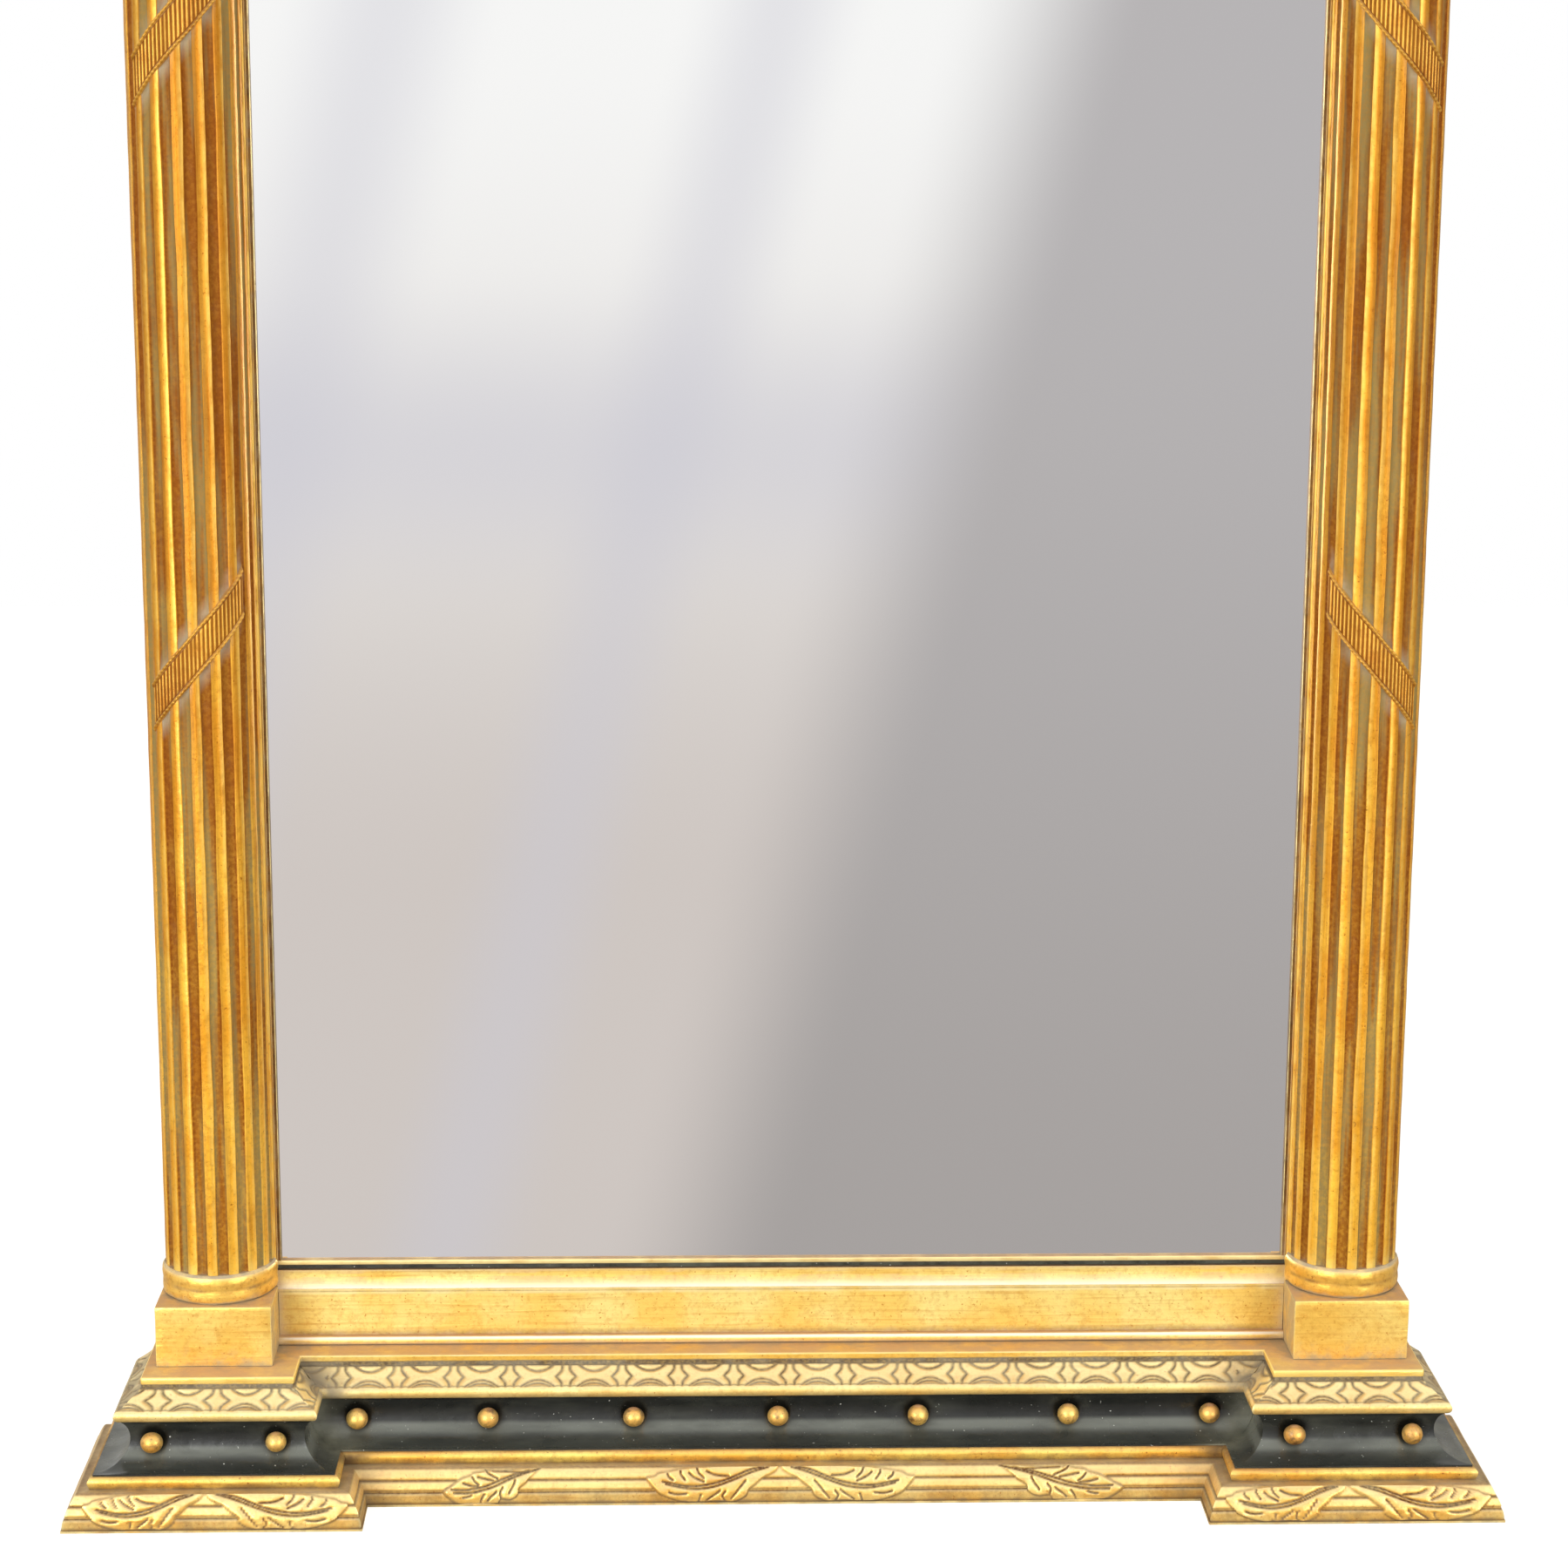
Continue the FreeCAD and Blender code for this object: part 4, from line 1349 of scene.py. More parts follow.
@dataclass(frozen=True)
class BallRow:
    """Gilt balls that stand in the hollow, each on its peg."""

    plan: BreakfrontPlan = BreakfrontPlan()
    diameter: float = 15.0
    height: float = 51.46
    peg_diameter: float = 4.0
    peg_length: float = 7.0
    centre: tuple[float, ...] = (-302.5, -210.0, -107.0, -4.6, 95.0, 202.0, 303.0)
    blocks: tuple[float, ...] = (-441.0, -355.0, 357.0, 440.0)
    segments: int = 28
    rings: int = 18
    peg_segments: int = 12

    def middles(self, end: End) -> list[Vector]:
        """Middle of every ball, in metres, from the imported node's own depth.

        Args:
            end: End of the mirror.

        Returns:
            The middles.
        """
        flats = math.cos(math.pi / 8)
        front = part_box(f"{end.value}_balls")[0].y / MM + self.diameter / 2 * flats
        setback = self.plan.block_depth - self.plan.centre_depth
        found = [(x, front) for x in self.blocks] + [(x, front + setback) for x in self.centre]
        return [Vector((x, y, end.level(self.height))) * MM for x, y in found]

    def build(self, end: End) -> None:
        """Makes all the balls of one end as one piece.

        Args:
            end: End of the mirror.
        """
        made = bmesh.new()
        for number, middle in enumerate(self.middles(end)):
            swell = Matrix.Diagonal((1.0 + 0.05 * math.sin(3 * number + 1), 0.97,
                                     0.96 + 0.04 * math.sin(5 * number), 1.0))
            bmesh.ops.create_uvsphere(made, u_segments=self.segments,
                                      v_segments=self.rings,
                                      radius=self.diameter / 2 * MM,
                                      matrix=Matrix.Translation(middle) @ swell)
            back = middle + Vector((0, (self.diameter + self.peg_length) / 2 * MM, 0))
            radius = self.peg_diameter / 2 * MM
            bmesh.ops.create_cone(made, cap_ends=True, segments=self.peg_segments,
                                  radius1=radius, radius2=radius, depth=self.peg_length * MM,
                                  matrix=Matrix.Translation(back)
                                  @ Matrix.Rotation(math.pi / 2, 4, "X"))
        put(made, f"{end.value}_balls", "_turned", "ball_gilt", BALL_GILT)


@dataclass(frozen=True)
class Hollow(Moulding):
    """Ebonised hollow, scooped a little round each ball, with a painted shadow ring round each.
    """

    title: str = "hollow"
    suffix: str = "_scooped"
    slot: str = "ebonised"
    finish: Finish = EBONISED
    step: float = 1.6
    balls: BallRow = BallRow()
    foot: float = 33.2
    base: float = 24.4
    top: float = 66.4
    back: float = -4.0
    bead_back: float = 20.0
    foot_reach: float = 30.0
    deepest: tuple[float, float] = (7.3, 49.8)
    top_reach: float = 13.3
    rows: int = 26
    dish_radius: float = 10.5
    dish_depth: float = 1.3
    dish_flat: float = 4.0
    shadow_ring_softness: float = 3.0
    unevenness: float = 0.2

    def section(self) -> Section:
        """The flared foot and the arc, over a plain back.

        Returns:
            The section.
        """
        head = (self.top_reach, self.top)
        front = [(self.foot_reach, self.foot),
                 *arc((self.foot_reach, self.foot + 1.2), self.deepest, head, self.rows), head]
        return Section(front, [(self.back, self.top), (self.back, self.base),
                               (self.bead_back, self.base), (self.bead_back, self.foot)])

    def relief(self, run: Run) -> Marks:
        """The dishes round the balls, and a painted shadow ring round each.

        Args:
            run: The vertices.

        Returns:
            Lift and groove.
        """
        rise = self.section().loop()[run.row, 1] - self.balls.height
        inner = (run.row > 1) & (run.row < self.rows)
        dish, ring = np.zeros(len(rise)), np.zeros(len(rise))
        low, high = (self.dish_radius + way * self.shadow_ring_softness for way in (-1, 1))
        for x in self.balls.centre + self.balls.blocks:
            away = np.hypot(run.along - x, rise)
            dish = np.maximum(dish, 1 - smooth(self.dish_flat, self.dish_radius, away))
            ring = np.maximum(ring, 1 - smooth(low, high, away))
        lift = self.unevenness * (wobble(run.along, 2.2) - 1)
        lift -= self.dish_depth * dish * run.front
        # The second mark is a painted shadow ring round each ball.
        return lift * inner, ring * run.front


@dataclass(frozen=True)
class Strap:
    """Sizes of the strapwork: period, half width of a lozenge, and (half width, height) arcs."""

    period: float
    lozenge: float
    outer: tuple[float, float]
    inner: tuple[float, float]
    upper: tuple[float, float]
    low_tip: float = 3.0
    high_tip: float = 2.6

    def lines(self, face: float) -> list[np.ndarray]:
        """Incised lines of half a period, from the middle of a cross to that of a lozenge.

        Args:
            face: Width of the sloping face.

        Returns:
            The lines, as offset from the cross and distance up the face.
        """
        half, shares = self.period / 2, np.linspace(0, 1, 9)
        bow = 1 - shares ** 2
        found = [np.column_stack([wide * shares, base + rise * bow]) for wide, rise, base in (
            (*self.outer, 0.0), (*self.inner, 0.0), (self.upper[0], -self.upper[1], face))]
        corner = (half - self.lozenge, face / 2)
        for base, tip in ((0.0, self.low_tip), (face, self.high_tip)):
            pull = (half - tip - 0.14 * (self.lozenge - tip), 0.56 * base + 0.22 * face)
            found.append(eased([(half - tip, base), pull, corner]))
        return found


@dataclass(frozen=True)
class Lattice(Moulding):
    """Sloping face with crossed strapwork and pointed lozenges, over a small bead."""

    title: str = "lattice"
    suffix: str = "_carved"
    slot: str = "carved_gilt"
    finish: Finish = LATTICE_GILT
    step: float = 0.8
    foot: float = 66.4
    bead_height: float = 8.4
    foot_reach: float = 14.2
    bead_reach: float = 17.1
    top_reach: float = 0.3
    top: float = 84.9
    quirk_top: float = 87.8
    quirk_depth: float = 1.5
    back: float = -4.0
    bead_rows: int = 10
    face_rows: int = 24
    cut_depth: float = 0.95
    cut_width: float = 1.2
    face_lift: float = 0.35
    border_shade_width: float = 0.7
    unevenness: float = 0.12
    block_margin: float = 20.0
    block_middle: float = 396.5
    centre_middle: float = 4.0
    side_middle: float = -42.0
    centre_strap: Strap = Strap(39.7, 6.9, (11.6, 5.9), (8.9, 3.0), (10.0, 4.2))
    block_strap: Strap = Strap(40.6, 9.0, (11.2, 5.9), (8.6, 3.0), (9.6, 4.2))

    def section(self) -> Section:
        """Bead, slightly hollow slope and quirk, over a plain back.

        Returns:
            The section.
        """
        low = (self.foot_reach, self.foot + self.bead_height)
        high = (self.top_reach, self.top)
        sag = ((low[0] + high[0]) / 2 - 0.5, (low[1] + high[1]) / 2 - 0.5)
        nose = (self.bead_reach, self.foot + self.bead_height / 2)
        front = [*arc((self.foot_reach, self.foot), nose, low, self.bead_rows),
                 *arc(low, sag, high, self.face_rows), high, (-self.quirk_depth, self.top),
                 (-self.quirk_depth, self.quirk_top)]
        return Section(front, [(self.back, self.quirk_top), (self.back, self.foot)])

    def relief(self, run: Run) -> Marks:
        """The strapwork cut into the face, with painted shade along its edges, in the quirk and
        under the bead.

        Args:
            run: The vertices.

        Returns:
            Lift and groove.
        """
        face = math.hypot(self.foot_reach - self.top_reach,
                          self.top - self.foot - self.bead_height)
        share = (run.row - self.bead_rows) / self.face_rows
        on_face = (share >= 0) & (share <= 1)
        in_block = np.abs(run.along) > self.plan.break_half_width - self.block_margin
        middle = np.where(in_block, np.sign(run.along) * self.block_middle, self.centre_middle)
        middle = np.where(run.front, middle, self.side_middle)
        in_block |= ~run.front
        cut = np.full(len(middle), FAR)
        for strap, mine in ((self.centre_strap, ~in_block), (self.block_strap, in_block)):
            offset = np.abs((run.along - middle) % strap.period - strap.period / 2)
            points = np.column_stack([offset, np.clip(share, 0, 1) * face])[mine]
            for line in strap.lines(face) if mine.any() else ():
                cut[mine] = np.minimum(cut[mine], distance_to(line, points))
        incised = bell(cut, self.cut_width)
        # Painted shade along the top and bottom edges of the face.
        border_shade = bell(np.minimum(share, 1 - share) * face, self.border_shade_width)
        groove = np.maximum(incised, 0.8 * border_shade) * on_face
        lift = self.unevenness * (wobble(run.along, 6.4) - 1)
        lift += on_face * (self.face_lift - self.cut_depth * incised)
        # Painted shade: a dark quirk, and the bead's underside and foot.
        quirk = run.row > self.bead_rows + self.face_rows
        bead = run.row / self.bead_rows
        shade = bell(bead, 0.12) + 0.5 * bell(bead - 0.3, 0.14)
        shade = shade * (0.65 + 0.35 * wobble(run.along, 3.7, 24.0))
        groove = np.clip(np.where(bead < 1, shade, groove), 0, 1)
        return lift * (1 - quirk), np.where(quirk, 1.0, groove)


@dataclass(frozen=True)
class Column:
    """Half-round shaft with flutes that stop at the ribbons."""

    place: Place
    middle: float = 401.0
    plane: float = -20.0
    radius: float = 38.2
    low: float = 158.3
    flutes: int = 8
    flute_half: float = 4.1
    flute_depth: float = 2.8
    flute_cuts: tuple[float, ...] = (-1, -0.86, -0.6, -0.3, 0, 0.3, 0.6, 0.86, 1)
    last_turn: float = 89.9
    lip: float = 0.5
    crown: float = 0.3
    clearance: float = 0.05
    wear: float = 0.12
    ribbon_levels: tuple[float, ...] = (598.0, 1015.0, 1432.0)
    ribbon_half: float = 16.5
    climb: float = 133.0 / 180
    ribbon_from: float = -52.0
    ribbon_to: float = 58.0
    stop_length: float = 4.5
    step: float = 8.0
    fine_band: tuple[float, float] = (1.0, 7.0)
    fine_cuts: int = 10

    def around(self, turn: np.ndarray, radius: np.ndarray, height: np.ndarray) -> np.ndarray:
        """Places round the shaft's axis.

        Args:
            turn: Turns from the front, in degrees.
            radius: Distances from the axis.
            height: Heights.

        Returns:
            The places.
        """
        angle = np.radians(turn)
        x = self.place.side * (self.middle - radius * np.sin(angle))
        return np.column_stack([x, self.plane - radius * np.cos(angle), height])

    def cuts(self) -> np.ndarray:
        """Where the shaft is cut round its axis.

        Returns:
            Turn, distance from the flute's middle and number of the flute, which is minus one on
            the flat back.
        """
        half, pitch = self.flute_half, 180 / self.flutes
        inner = [share * half for share in self.flute_cuts]
        between = math.radians(pitch / 2) * self.radius
        across = [-half - self.lip, *inner, half + self.lip, between]
        found = [(-90.0, FAR, -1)]
        for flute in range(self.flutes):
            middle = (flute - (self.flutes - 1) / 2) * pitch
            found += [(middle + math.degrees(away / self.radius), away, flute)
                      for away in across]
        found[-1] = (self.last_turn, *found[-1][1:])
        return np.array(found + [(90.0, FAR, -1), (-90.0, FAR, -1)])

    def rows(self) -> np.ndarray:
        """Height at the middle and slant of every row of vertices.

        Returns:
            One (height, slant) for each row.
        """
        near, far = self.fine_band
        half = self.ribbon_half
        levels = [(self.low, 0.0)]
        for level in self.ribbon_levels:
            levels += [(level + away, self.climb)
                       for away in (-half - far, -half + near, half - near, half + far)]
        levels.append((HEIGHT - self.low, 0.0))
        found = [levels[0]]
        for start, stop in zip(levels, levels[1:]):
            length = stop[0] - start[0]
            fine = abs(length - near - far) < TINY
            cuts = self.fine_cuts if fine else max(1, round(length / self.step))
            found += list(np.linspace(start, stop, cuts + 1))[1:]
        return np.array(found)

    def stops(self, turn: np.ndarray, height: np.ndarray) -> Marks:
        """How the ribbons stop the flutes.

        Args:
            turn: Turns from the front, in degrees.
            height: Heights.

        Returns:
            The flute's share of its depth, and a share that grows towards its stops.
        """
        within = smooth(self.ribbon_from - 3, self.ribbon_from + 1, turn)
        within = within * (1 - smooth(self.ribbon_to - 1, self.ribbon_to + 3, turn))
        opened, near = np.ones(len(turn)), np.zeros(len(turn))
        for level in self.ribbon_levels:
            gap = np.abs(height - level - self.climb * turn) - self.ribbon_half
            part = np.clip(1 - gap / self.stop_length, 0, 1)
            ends = np.sqrt(np.clip(1 - part ** 2, 0, 1)) * (gap > 0)
            opened = np.minimum(opened, 1 - within * (1 - ends))
            near = np.maximum(near, within * (1 - smooth(0, 14, gap)) * (gap > 0))
        return opened, near

    def build(self) -> None:
        """Makes the shaft, with toned flutes, painted shade beside them and a painted highlight
        on each lip.
        """
        cuts, rows = self.cuts(), self.rows()
        half, deep = self.flute_half, self.flute_depth
        made, column, row = grid(len(cuts), len(rows))
        turn, away, flute = cuts[column].T
        on_flute = flute >= 0
        height = rows[row, 0] + rows[row, 1] * turn
        stretch = 0.1 * wobble(height, 1.9, 140.0) * np.cos(flute * 2.3)
        sway = 0.35 * np.sin(flute * 1.7) * wobble(height, 0.6, 230.0)
        turn = turn + np.degrees(on_flute * (away * stretch + sway) / self.radius)
        opened, near_stop = self.stops(turn, height)
        curve = (half ** 2 + deep ** 2) / (2 * deep)
        depth = np.sqrt(np.maximum(curve ** 2 - away ** 2, 0)) - curve + deep
        depth = np.where(np.abs(away) < half, depth, 0.0) * opened
        on_arris = np.abs(np.abs(away) - half) < 0.01
        radius = self.radius - self.clearance - depth - self.wear * on_arris
        radius += self.wear * on_flute * (wobble(height, 3.3, 60.0) - 1)
        radius += self.crown * (on_flute & (away > half + 1))
        # Flutes toned brown, a little darker at their sides: painted shade.
        groove = np.clip(depth / deep * 5, 0, 1) * np.where(np.abs(away) > 0.8 * half, 1.0, 0.86)
        # Painted shade in a strip just beyond one side of each flute.
        shaded = (depth < 0.01) & (away > half) & (away < half + 1)
        groove = np.where(shaded, 0.3, groove)
        # Painted highlight along the lip on the other side of each flute.
        highlight_lip = on_flute & (np.abs(away + half + self.lip) < 0.01)
        bend(made, self.around(turn, radius, height), groove=on_flute * groove,
             grime=near_stop * groove, edge=0.65 * highlight_lip)
        close(made)
        put(made, f"column_{self.place.value}", "_fluted", "column_gilt", COLUMN_GILT,
            crease=COLUMN_CREASE)


@dataclass(frozen=True)
class Ribbons:
    """Ribbons that wind across a column, with a cord along each edge and upright ridges."""

    column: Column
    cord: float = 3.2
    cord_rise: float = 1.9
    cord_foot: float = 0.3
    web_rise: float = 0.4
    web_margin: float = 1.2
    ridge_rise: float = 0.45
    ridge_pitch: float = 2.9
    strand_pitch: float = 2.3
    strand_rise: float = 0.22
    back_sink: float = 0.3
    end_sink: float = 2.4
    back_end_sink: float = 2.6
    end_turn: float = 5.0
    cuts: int = 240

    def offsets(self) -> np.ndarray:
        """Offsets up the ribbon at which it is cut.

        Returns:
            The offsets from its middle.
        """
        half, cord = self.column.ribbon_half, self.cord
        low = -half + cord * np.array([0.0, 0.12, 0.3, 0.5, 0.7, 0.88, 1.0])
        inner = -half + cord + np.array([0.7, 1.4, 4.0])
        return np.concatenate([low, inner, [-5, 0, 5], -inner[::-1], -low[::-1]])

    def ribbon(self, number: int) -> Mesh:
        """One ribbon.

        Args:
            number: Its number from the foot.

        Returns:
            The closed mesh.
        """
        column, offsets = self.column, self.offsets()
        count = len(offsets)
        turns = np.linspace(column.ribbon_from - 2, column.ribbon_to + 2, self.cuts)
        made, along, across = grid(len(turns), count + 3)
        back = across >= count
        offset = offsets[np.where(across > count, 0, np.minimum(across, count - 1))]
        turn = turns[along]
        length = np.radians(turn) * column.radius
        edge = column.ribbon_half - np.abs(offset)
        cord = np.sqrt(np.clip(1 - (2 * edge / self.cord - 1) ** 2, 0, 1))
        on_cord, on_web = edge <= self.cord + TINY, edge > self.cord + self.web_margin
        twist = (length + offset * 0.8) * 2 * math.pi / self.strand_pitch
        twist = self.strand_rise * np.sin(twist)
        ridge = 0.5 + 0.5 * np.cos(length * 2 * math.pi / self.ridge_pitch
                                   + 0.5 * wobble(length, number, 30))
        on_edge = self.cord_foot + (self.cord_rise - self.cord_foot + twist) * cord
        on_ridge = self.web_rise + on_web * self.ridge_rise * ridge ** 2
        taper = np.minimum(smooth(turns[0], turns[0] + self.end_turn, turn),
                           1 - smooth(turns[-1] - self.end_turn, turns[-1], turn))
        rise = np.where(on_cord, on_edge, on_ridge) * taper - self.end_sink * (1 - taper)
        behind = -self.back_sink - self.back_end_sink * (1 - taper)
        rise = np.where(back & (across < count + 2), behind, rise)
        height = (column.ribbon_levels[number] + column.climb * turn + offset
                  + 0.5 * wobble(length, 2.0 * number, 55))
        # Painted shade between the ridges and beside the cords; painted highlight on the cords
        # and ridge tops.
        between = np.where(on_web, (1 - ridge) ** 2 * 0.8, 0.9) * (1 - on_cord)
        bend(made, column.around(turn, column.radius + rise, height), groove=between * ~back,
             edge=np.where(on_cord, 0.45 + twist, 0.8 * on_web * ridge ** 3))
        close(made)
        return made

    def build(self) -> None:
        """Makes the three ribbons of one column as one piece."""
        whole = joined(self.ribbon(number) for number in range(len(self.column.ribbon_levels)))
        put(whole, f"ribbons_{self.column.place.value}", "_carved", "ribbon_gilt", RIBBON_GILT)


@dataclass(frozen=True)
class FootRing:
    """Half ring under a column, with a soft hollow line round it."""

    middle: float = 401.0
    plane: float = -20.0
    foot: float = 137.3
    height: float = 21.0
    edge: float = 38.4
    swell: float = 41.0
    valley: float = 40.45
    valley_height: float = 9.8
    valley_width: float = 1.5
    wear: float = 0.3
    steps: int = 72

    def profile(self) -> np.ndarray:
        """Half the outline of the ring, from the axis at the foot to the axis at the top.

        Returns:
            Radius and height of its points.
        """
        rise = self.height
        curve = eased([(self.edge, 0.0), (self.swell - 0.7, 1.4), (self.swell - 0.2, 4.4),
                       (self.swell - 0.3, 7.0), (self.valley, 9.6), (self.swell - 0.3, 12.2),
                       (self.swell, 14.8), (self.swell - 0.6, 18.0),
                       (self.edge + 0.6, rise - 0.6), (self.edge, rise)], 4)
        curve = np.clip(curve, 0, (self.swell, rise))
        return np.vstack([[(0.0, 0.0)], curve, [(0.0, rise)]])

    def build(self, end: End) -> None:
        """Makes both half rings of one end as one piece.

        Args:
            end: End of the mirror.
        """
        made = bmesh.new()
        for place in SIDES:
            axis = Vector((place.side * self.middle, self.plane + WALL, 0)) * MM
            verts = [made.verts.new(axis + Vector((-radius, 0, end.level(self.foot + rise))) * MM)
                     for radius, rise in self.profile()]
            edges = [made.edges.new(pair) for pair in zip(verts, verts[1:])]
            bmesh.ops.spin(made, geom=verts + edges, cent=axis, axis=(0, 0, 1), angle=math.pi,
                           steps=self.steps, use_merge=False)
        bmesh.ops.remove_doubles(made, verts=made.verts, dist=TINY)
        close(made)
        places = np.array([vert.co for vert in made.verts]) / MM - (0, WALL, 0)
        side, x = np.sign(places[:, 0]), np.abs(places[:, 0]) - self.middle
        y, rise = places[:, 1] - self.plane, end.level(places[:, 2]) - self.foot
        away, turn = np.hypot(x, y), np.arctan2(y, x)
        worn = self.wear * (np.sin(7 * turn + places[:, 0] * 0.01) * np.sin(3 * turn) - 1)
        scale = 1 + worn / np.maximum(away, 1) * ((away > self.edge + 0.4) & (y < -1))
        places[:, 0] = side * (self.middle + x * scale)
        places[:, 1] = self.plane + y * scale
        strength = 0.5 + 0.3 * np.sin(5 * turn + 1) + 0.2 * np.sin(13 * turn)
        dusty = (rise > self.height - 2.2) | (rise < 1.0)
        bend(made, places, grime=1.0 * dusty,
             groove=strength * bell(rise - self.valley_height, self.valley_width))
        part = "foot" if end is End.BASE else "capital"
        put(made, f"{part}_rings", "_turned", "flat_gilt", RING_GILT)


@dataclass(frozen=True)
class PlinthBlock:
    """Square block under a column, softened by wear."""

    place: Place
    cuts: int = 9
    rounding: float = 0.8
    unevenness: float = 0.12
    dust_amount: float = 0.75
    dust_width: float = 0.6

    def build(self, end: End) -> None:
        """Makes the block from its node's own box.

        Args:
            end: End of the mirror.
        """
        part = "plinth" if end is End.BASE else "capital_block"
        node = f"{part}_{self.place.value}"
        low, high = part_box(node)
        middle = (low + high) / 2
        made = bmesh.new()
        bmesh.ops.create_cube(made, size=1.0, matrix=Matrix.Translation(middle)
                              @ Matrix.Diagonal((*(high - low), 1.0)))
        bmesh.ops.subdivide_edges(made, edges=made.edges, cuts=self.cuts, use_grid_fill=True)
        for vert in made.verts:
            waves = math.sin(vert.co.x * 90) * math.sin(vert.co.z * 130 + 1)
            depth = self.unevenness * MM * (1 + waves)
            vert.co -= Vector([math.copysign(depth, part) for part in vert.co - middle])
        round_off(made, self.rounding)
        dusty = made.verts.layers.float.new("grime")
        inner = low.x if self.place is Place.RIGHT else high.x
        for vert in made.verts:
            vert[dusty] = self.dust_amount * float(abs(vert.co.x - inner) < self.dust_width * MM)
        put(made, node, "_worn", "flat_gilt", FLAT_GILT)


@dataclass(frozen=True)
class FrameFront:
    """Fascia, cove and slips between the columns and the glass."""

    sight: float = 361.5
    fascia_half: float = 360.2
    foot: float = 93.3
    reach: float = 20.0
    back: float = 16.0
    bead_height: float = 6.4
    bead_reach: float = 6.0
    fascia_height: float = 38.4
    rail_top: float = 147.0
    fillet: float = 2.2
    dip: float = 1.15
    slip_gap: float = 3.5
    slip_flange: float = 5.5
    slip_rounding: float = 0.5
    edge_shadow_width: float = 2.4
    end_width: float = 22.0
    dust_width: float = 5.0
    unevenness: float = 0.05
    step: float = 4.0
    # Rows with painted shade under and above the fascia's bead.
    fascia_shade_lines: tuple[tuple[int, float], ...] = (
        (0, 0.9), (1, 0.6), (2, 0.35), (13, 0.9), (14, 0.8), (15, 0.5), (30, 0.8), (31, 0.8))
    cove_lines: tuple[tuple[int, float], ...] = ((0, 0.8),)

    def fascia(self) -> Section:
        """Flat face with a half-round bead along its foot.

        Returns:
            The section.
        """
        nose = self.reach + self.bead_reach - self.bead_height / 2
        top, head = self.foot + self.bead_height, self.foot + self.fascia_height
        front = [*arc((nose, self.foot), (self.reach + self.bead_reach, (self.foot + top) / 2),
                      (nose, top), 12),
                 *straight((nose, top), (self.reach, top), 2),
                 *straight((self.reach, top), (self.reach, head), 14), (self.reach, head)]
        return Section(front, [(self.back, head), (self.back, self.foot)])

    def cove(self) -> Section:
        """Small fillet and a shallow hollow.

        Returns:
            The section.
        """
        low = self.foot + self.fascia_height
        start = (self.reach - 0.8, low + self.fillet)
        lip = (self.back + 0.9, self.rail_top)
        dip = ((start[0] + lip[0]) / 2 - self.dip, (start[1] + lip[1]) / 2 - self.dip)
        front = [(self.reach, low), (self.reach, low + self.fillet), *arc(start, dip, lip, 12),
                 lip]
        return Section(front, [(self.back, self.rail_top), (self.back, low)])

    def relief(self, lines: Sequence[tuple[int, float]], run: Run) -> Marks:
        """Slight unevenness of hand work, darker towards the ends, and painted shade lines at
        some rows.

        Args:
            lines: Rows of the section with the strength of their line.
            run: The vertices.

        Returns:
            Lift and groove.
        """
        groove = 0.4 * bell(self.fascia_half - np.abs(run.along), self.end_width)
        groove = groove * (0.7 + 0.3 * wobble(run.along, 2, 9))
        for number, amount in lines:
            groove = np.maximum(groove, amount * (run.row == number))
        return self.unevenness * (wobble(run.along, 5.5, 120.0) - 1), groove

    def grime(self, here: np.ndarray, reach: np.ndarray) -> np.ndarray:
        """Dust in the corners beside the plinth blocks, and painted shade high in the cove.

        Args:
            here: Plan places.
            reach: Their reach.

        Returns:
            Shares of dust and painted shade.
        """
        corner = 0.7 * bell(self.fascia_half - np.abs(here[:, 0]), self.dust_width)
        # Painted shade on the steep upper part of the cove.
        cove = 0.5 * smooth(self.reach - 1.6, self.back + 1.0, reach)
        hollow = (reach > self.back + 0.5) & (reach < self.reach - 0.2)
        return np.maximum(corner, cove * hollow)

    def slip(self, node: str) -> None:
        """Makes a slip above or below the glass, black where its flange shows: a painted shadow.

        Args:
            node: Its CAD node.
        """
        made = worn_copy(node, self.slip_rounding)
        low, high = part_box(node)
        gap = (self.slip_gap + self.slip_flange) * MM
        for face in made.faces:
            height = face.calc_center_median().z
            # Painted shadow: the flange in the gap behind the nose takes the black finish.
            hidden = height < low.z + gap if "bottom" in node else height > high.z - gap
            face.material_index = int(hidden)
        put(made, node, "_worn", "slip_gilt", SLIP_GILT, EBONISED)

    def side_slip(self, place: Place) -> None:
        """Makes a slip beside the glass, with a painted shadow along its inner edge.

        Args:
            place: Left or right.
        """
        node = f"slip_{place.value}"
        made = worn_copy(node, self.slip_rounding)
        low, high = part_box(node)
        inner = low.x if place is Place.RIGHT else high.x
        line = inner + place.side * self.edge_shadow_width * MM
        bmesh.ops.bisect_plane(made, geom=[*made.verts, *made.edges, *made.faces],
                               plane_co=(line, 0, 0), plane_no=(1, 0, 0), dist=TINY)
        # Painted shadow: faces in the strip along the inner edge take the dark finish.
        for face in made.faces:
            beyond = (face.calc_center_median().x - line) * place.side
            face.material_index = int(beyond < 0)
        put(made, node, "_worn", "slip_gilt", SIDE_SLIP_GILT, SLIP_EDGE_SHADOW)

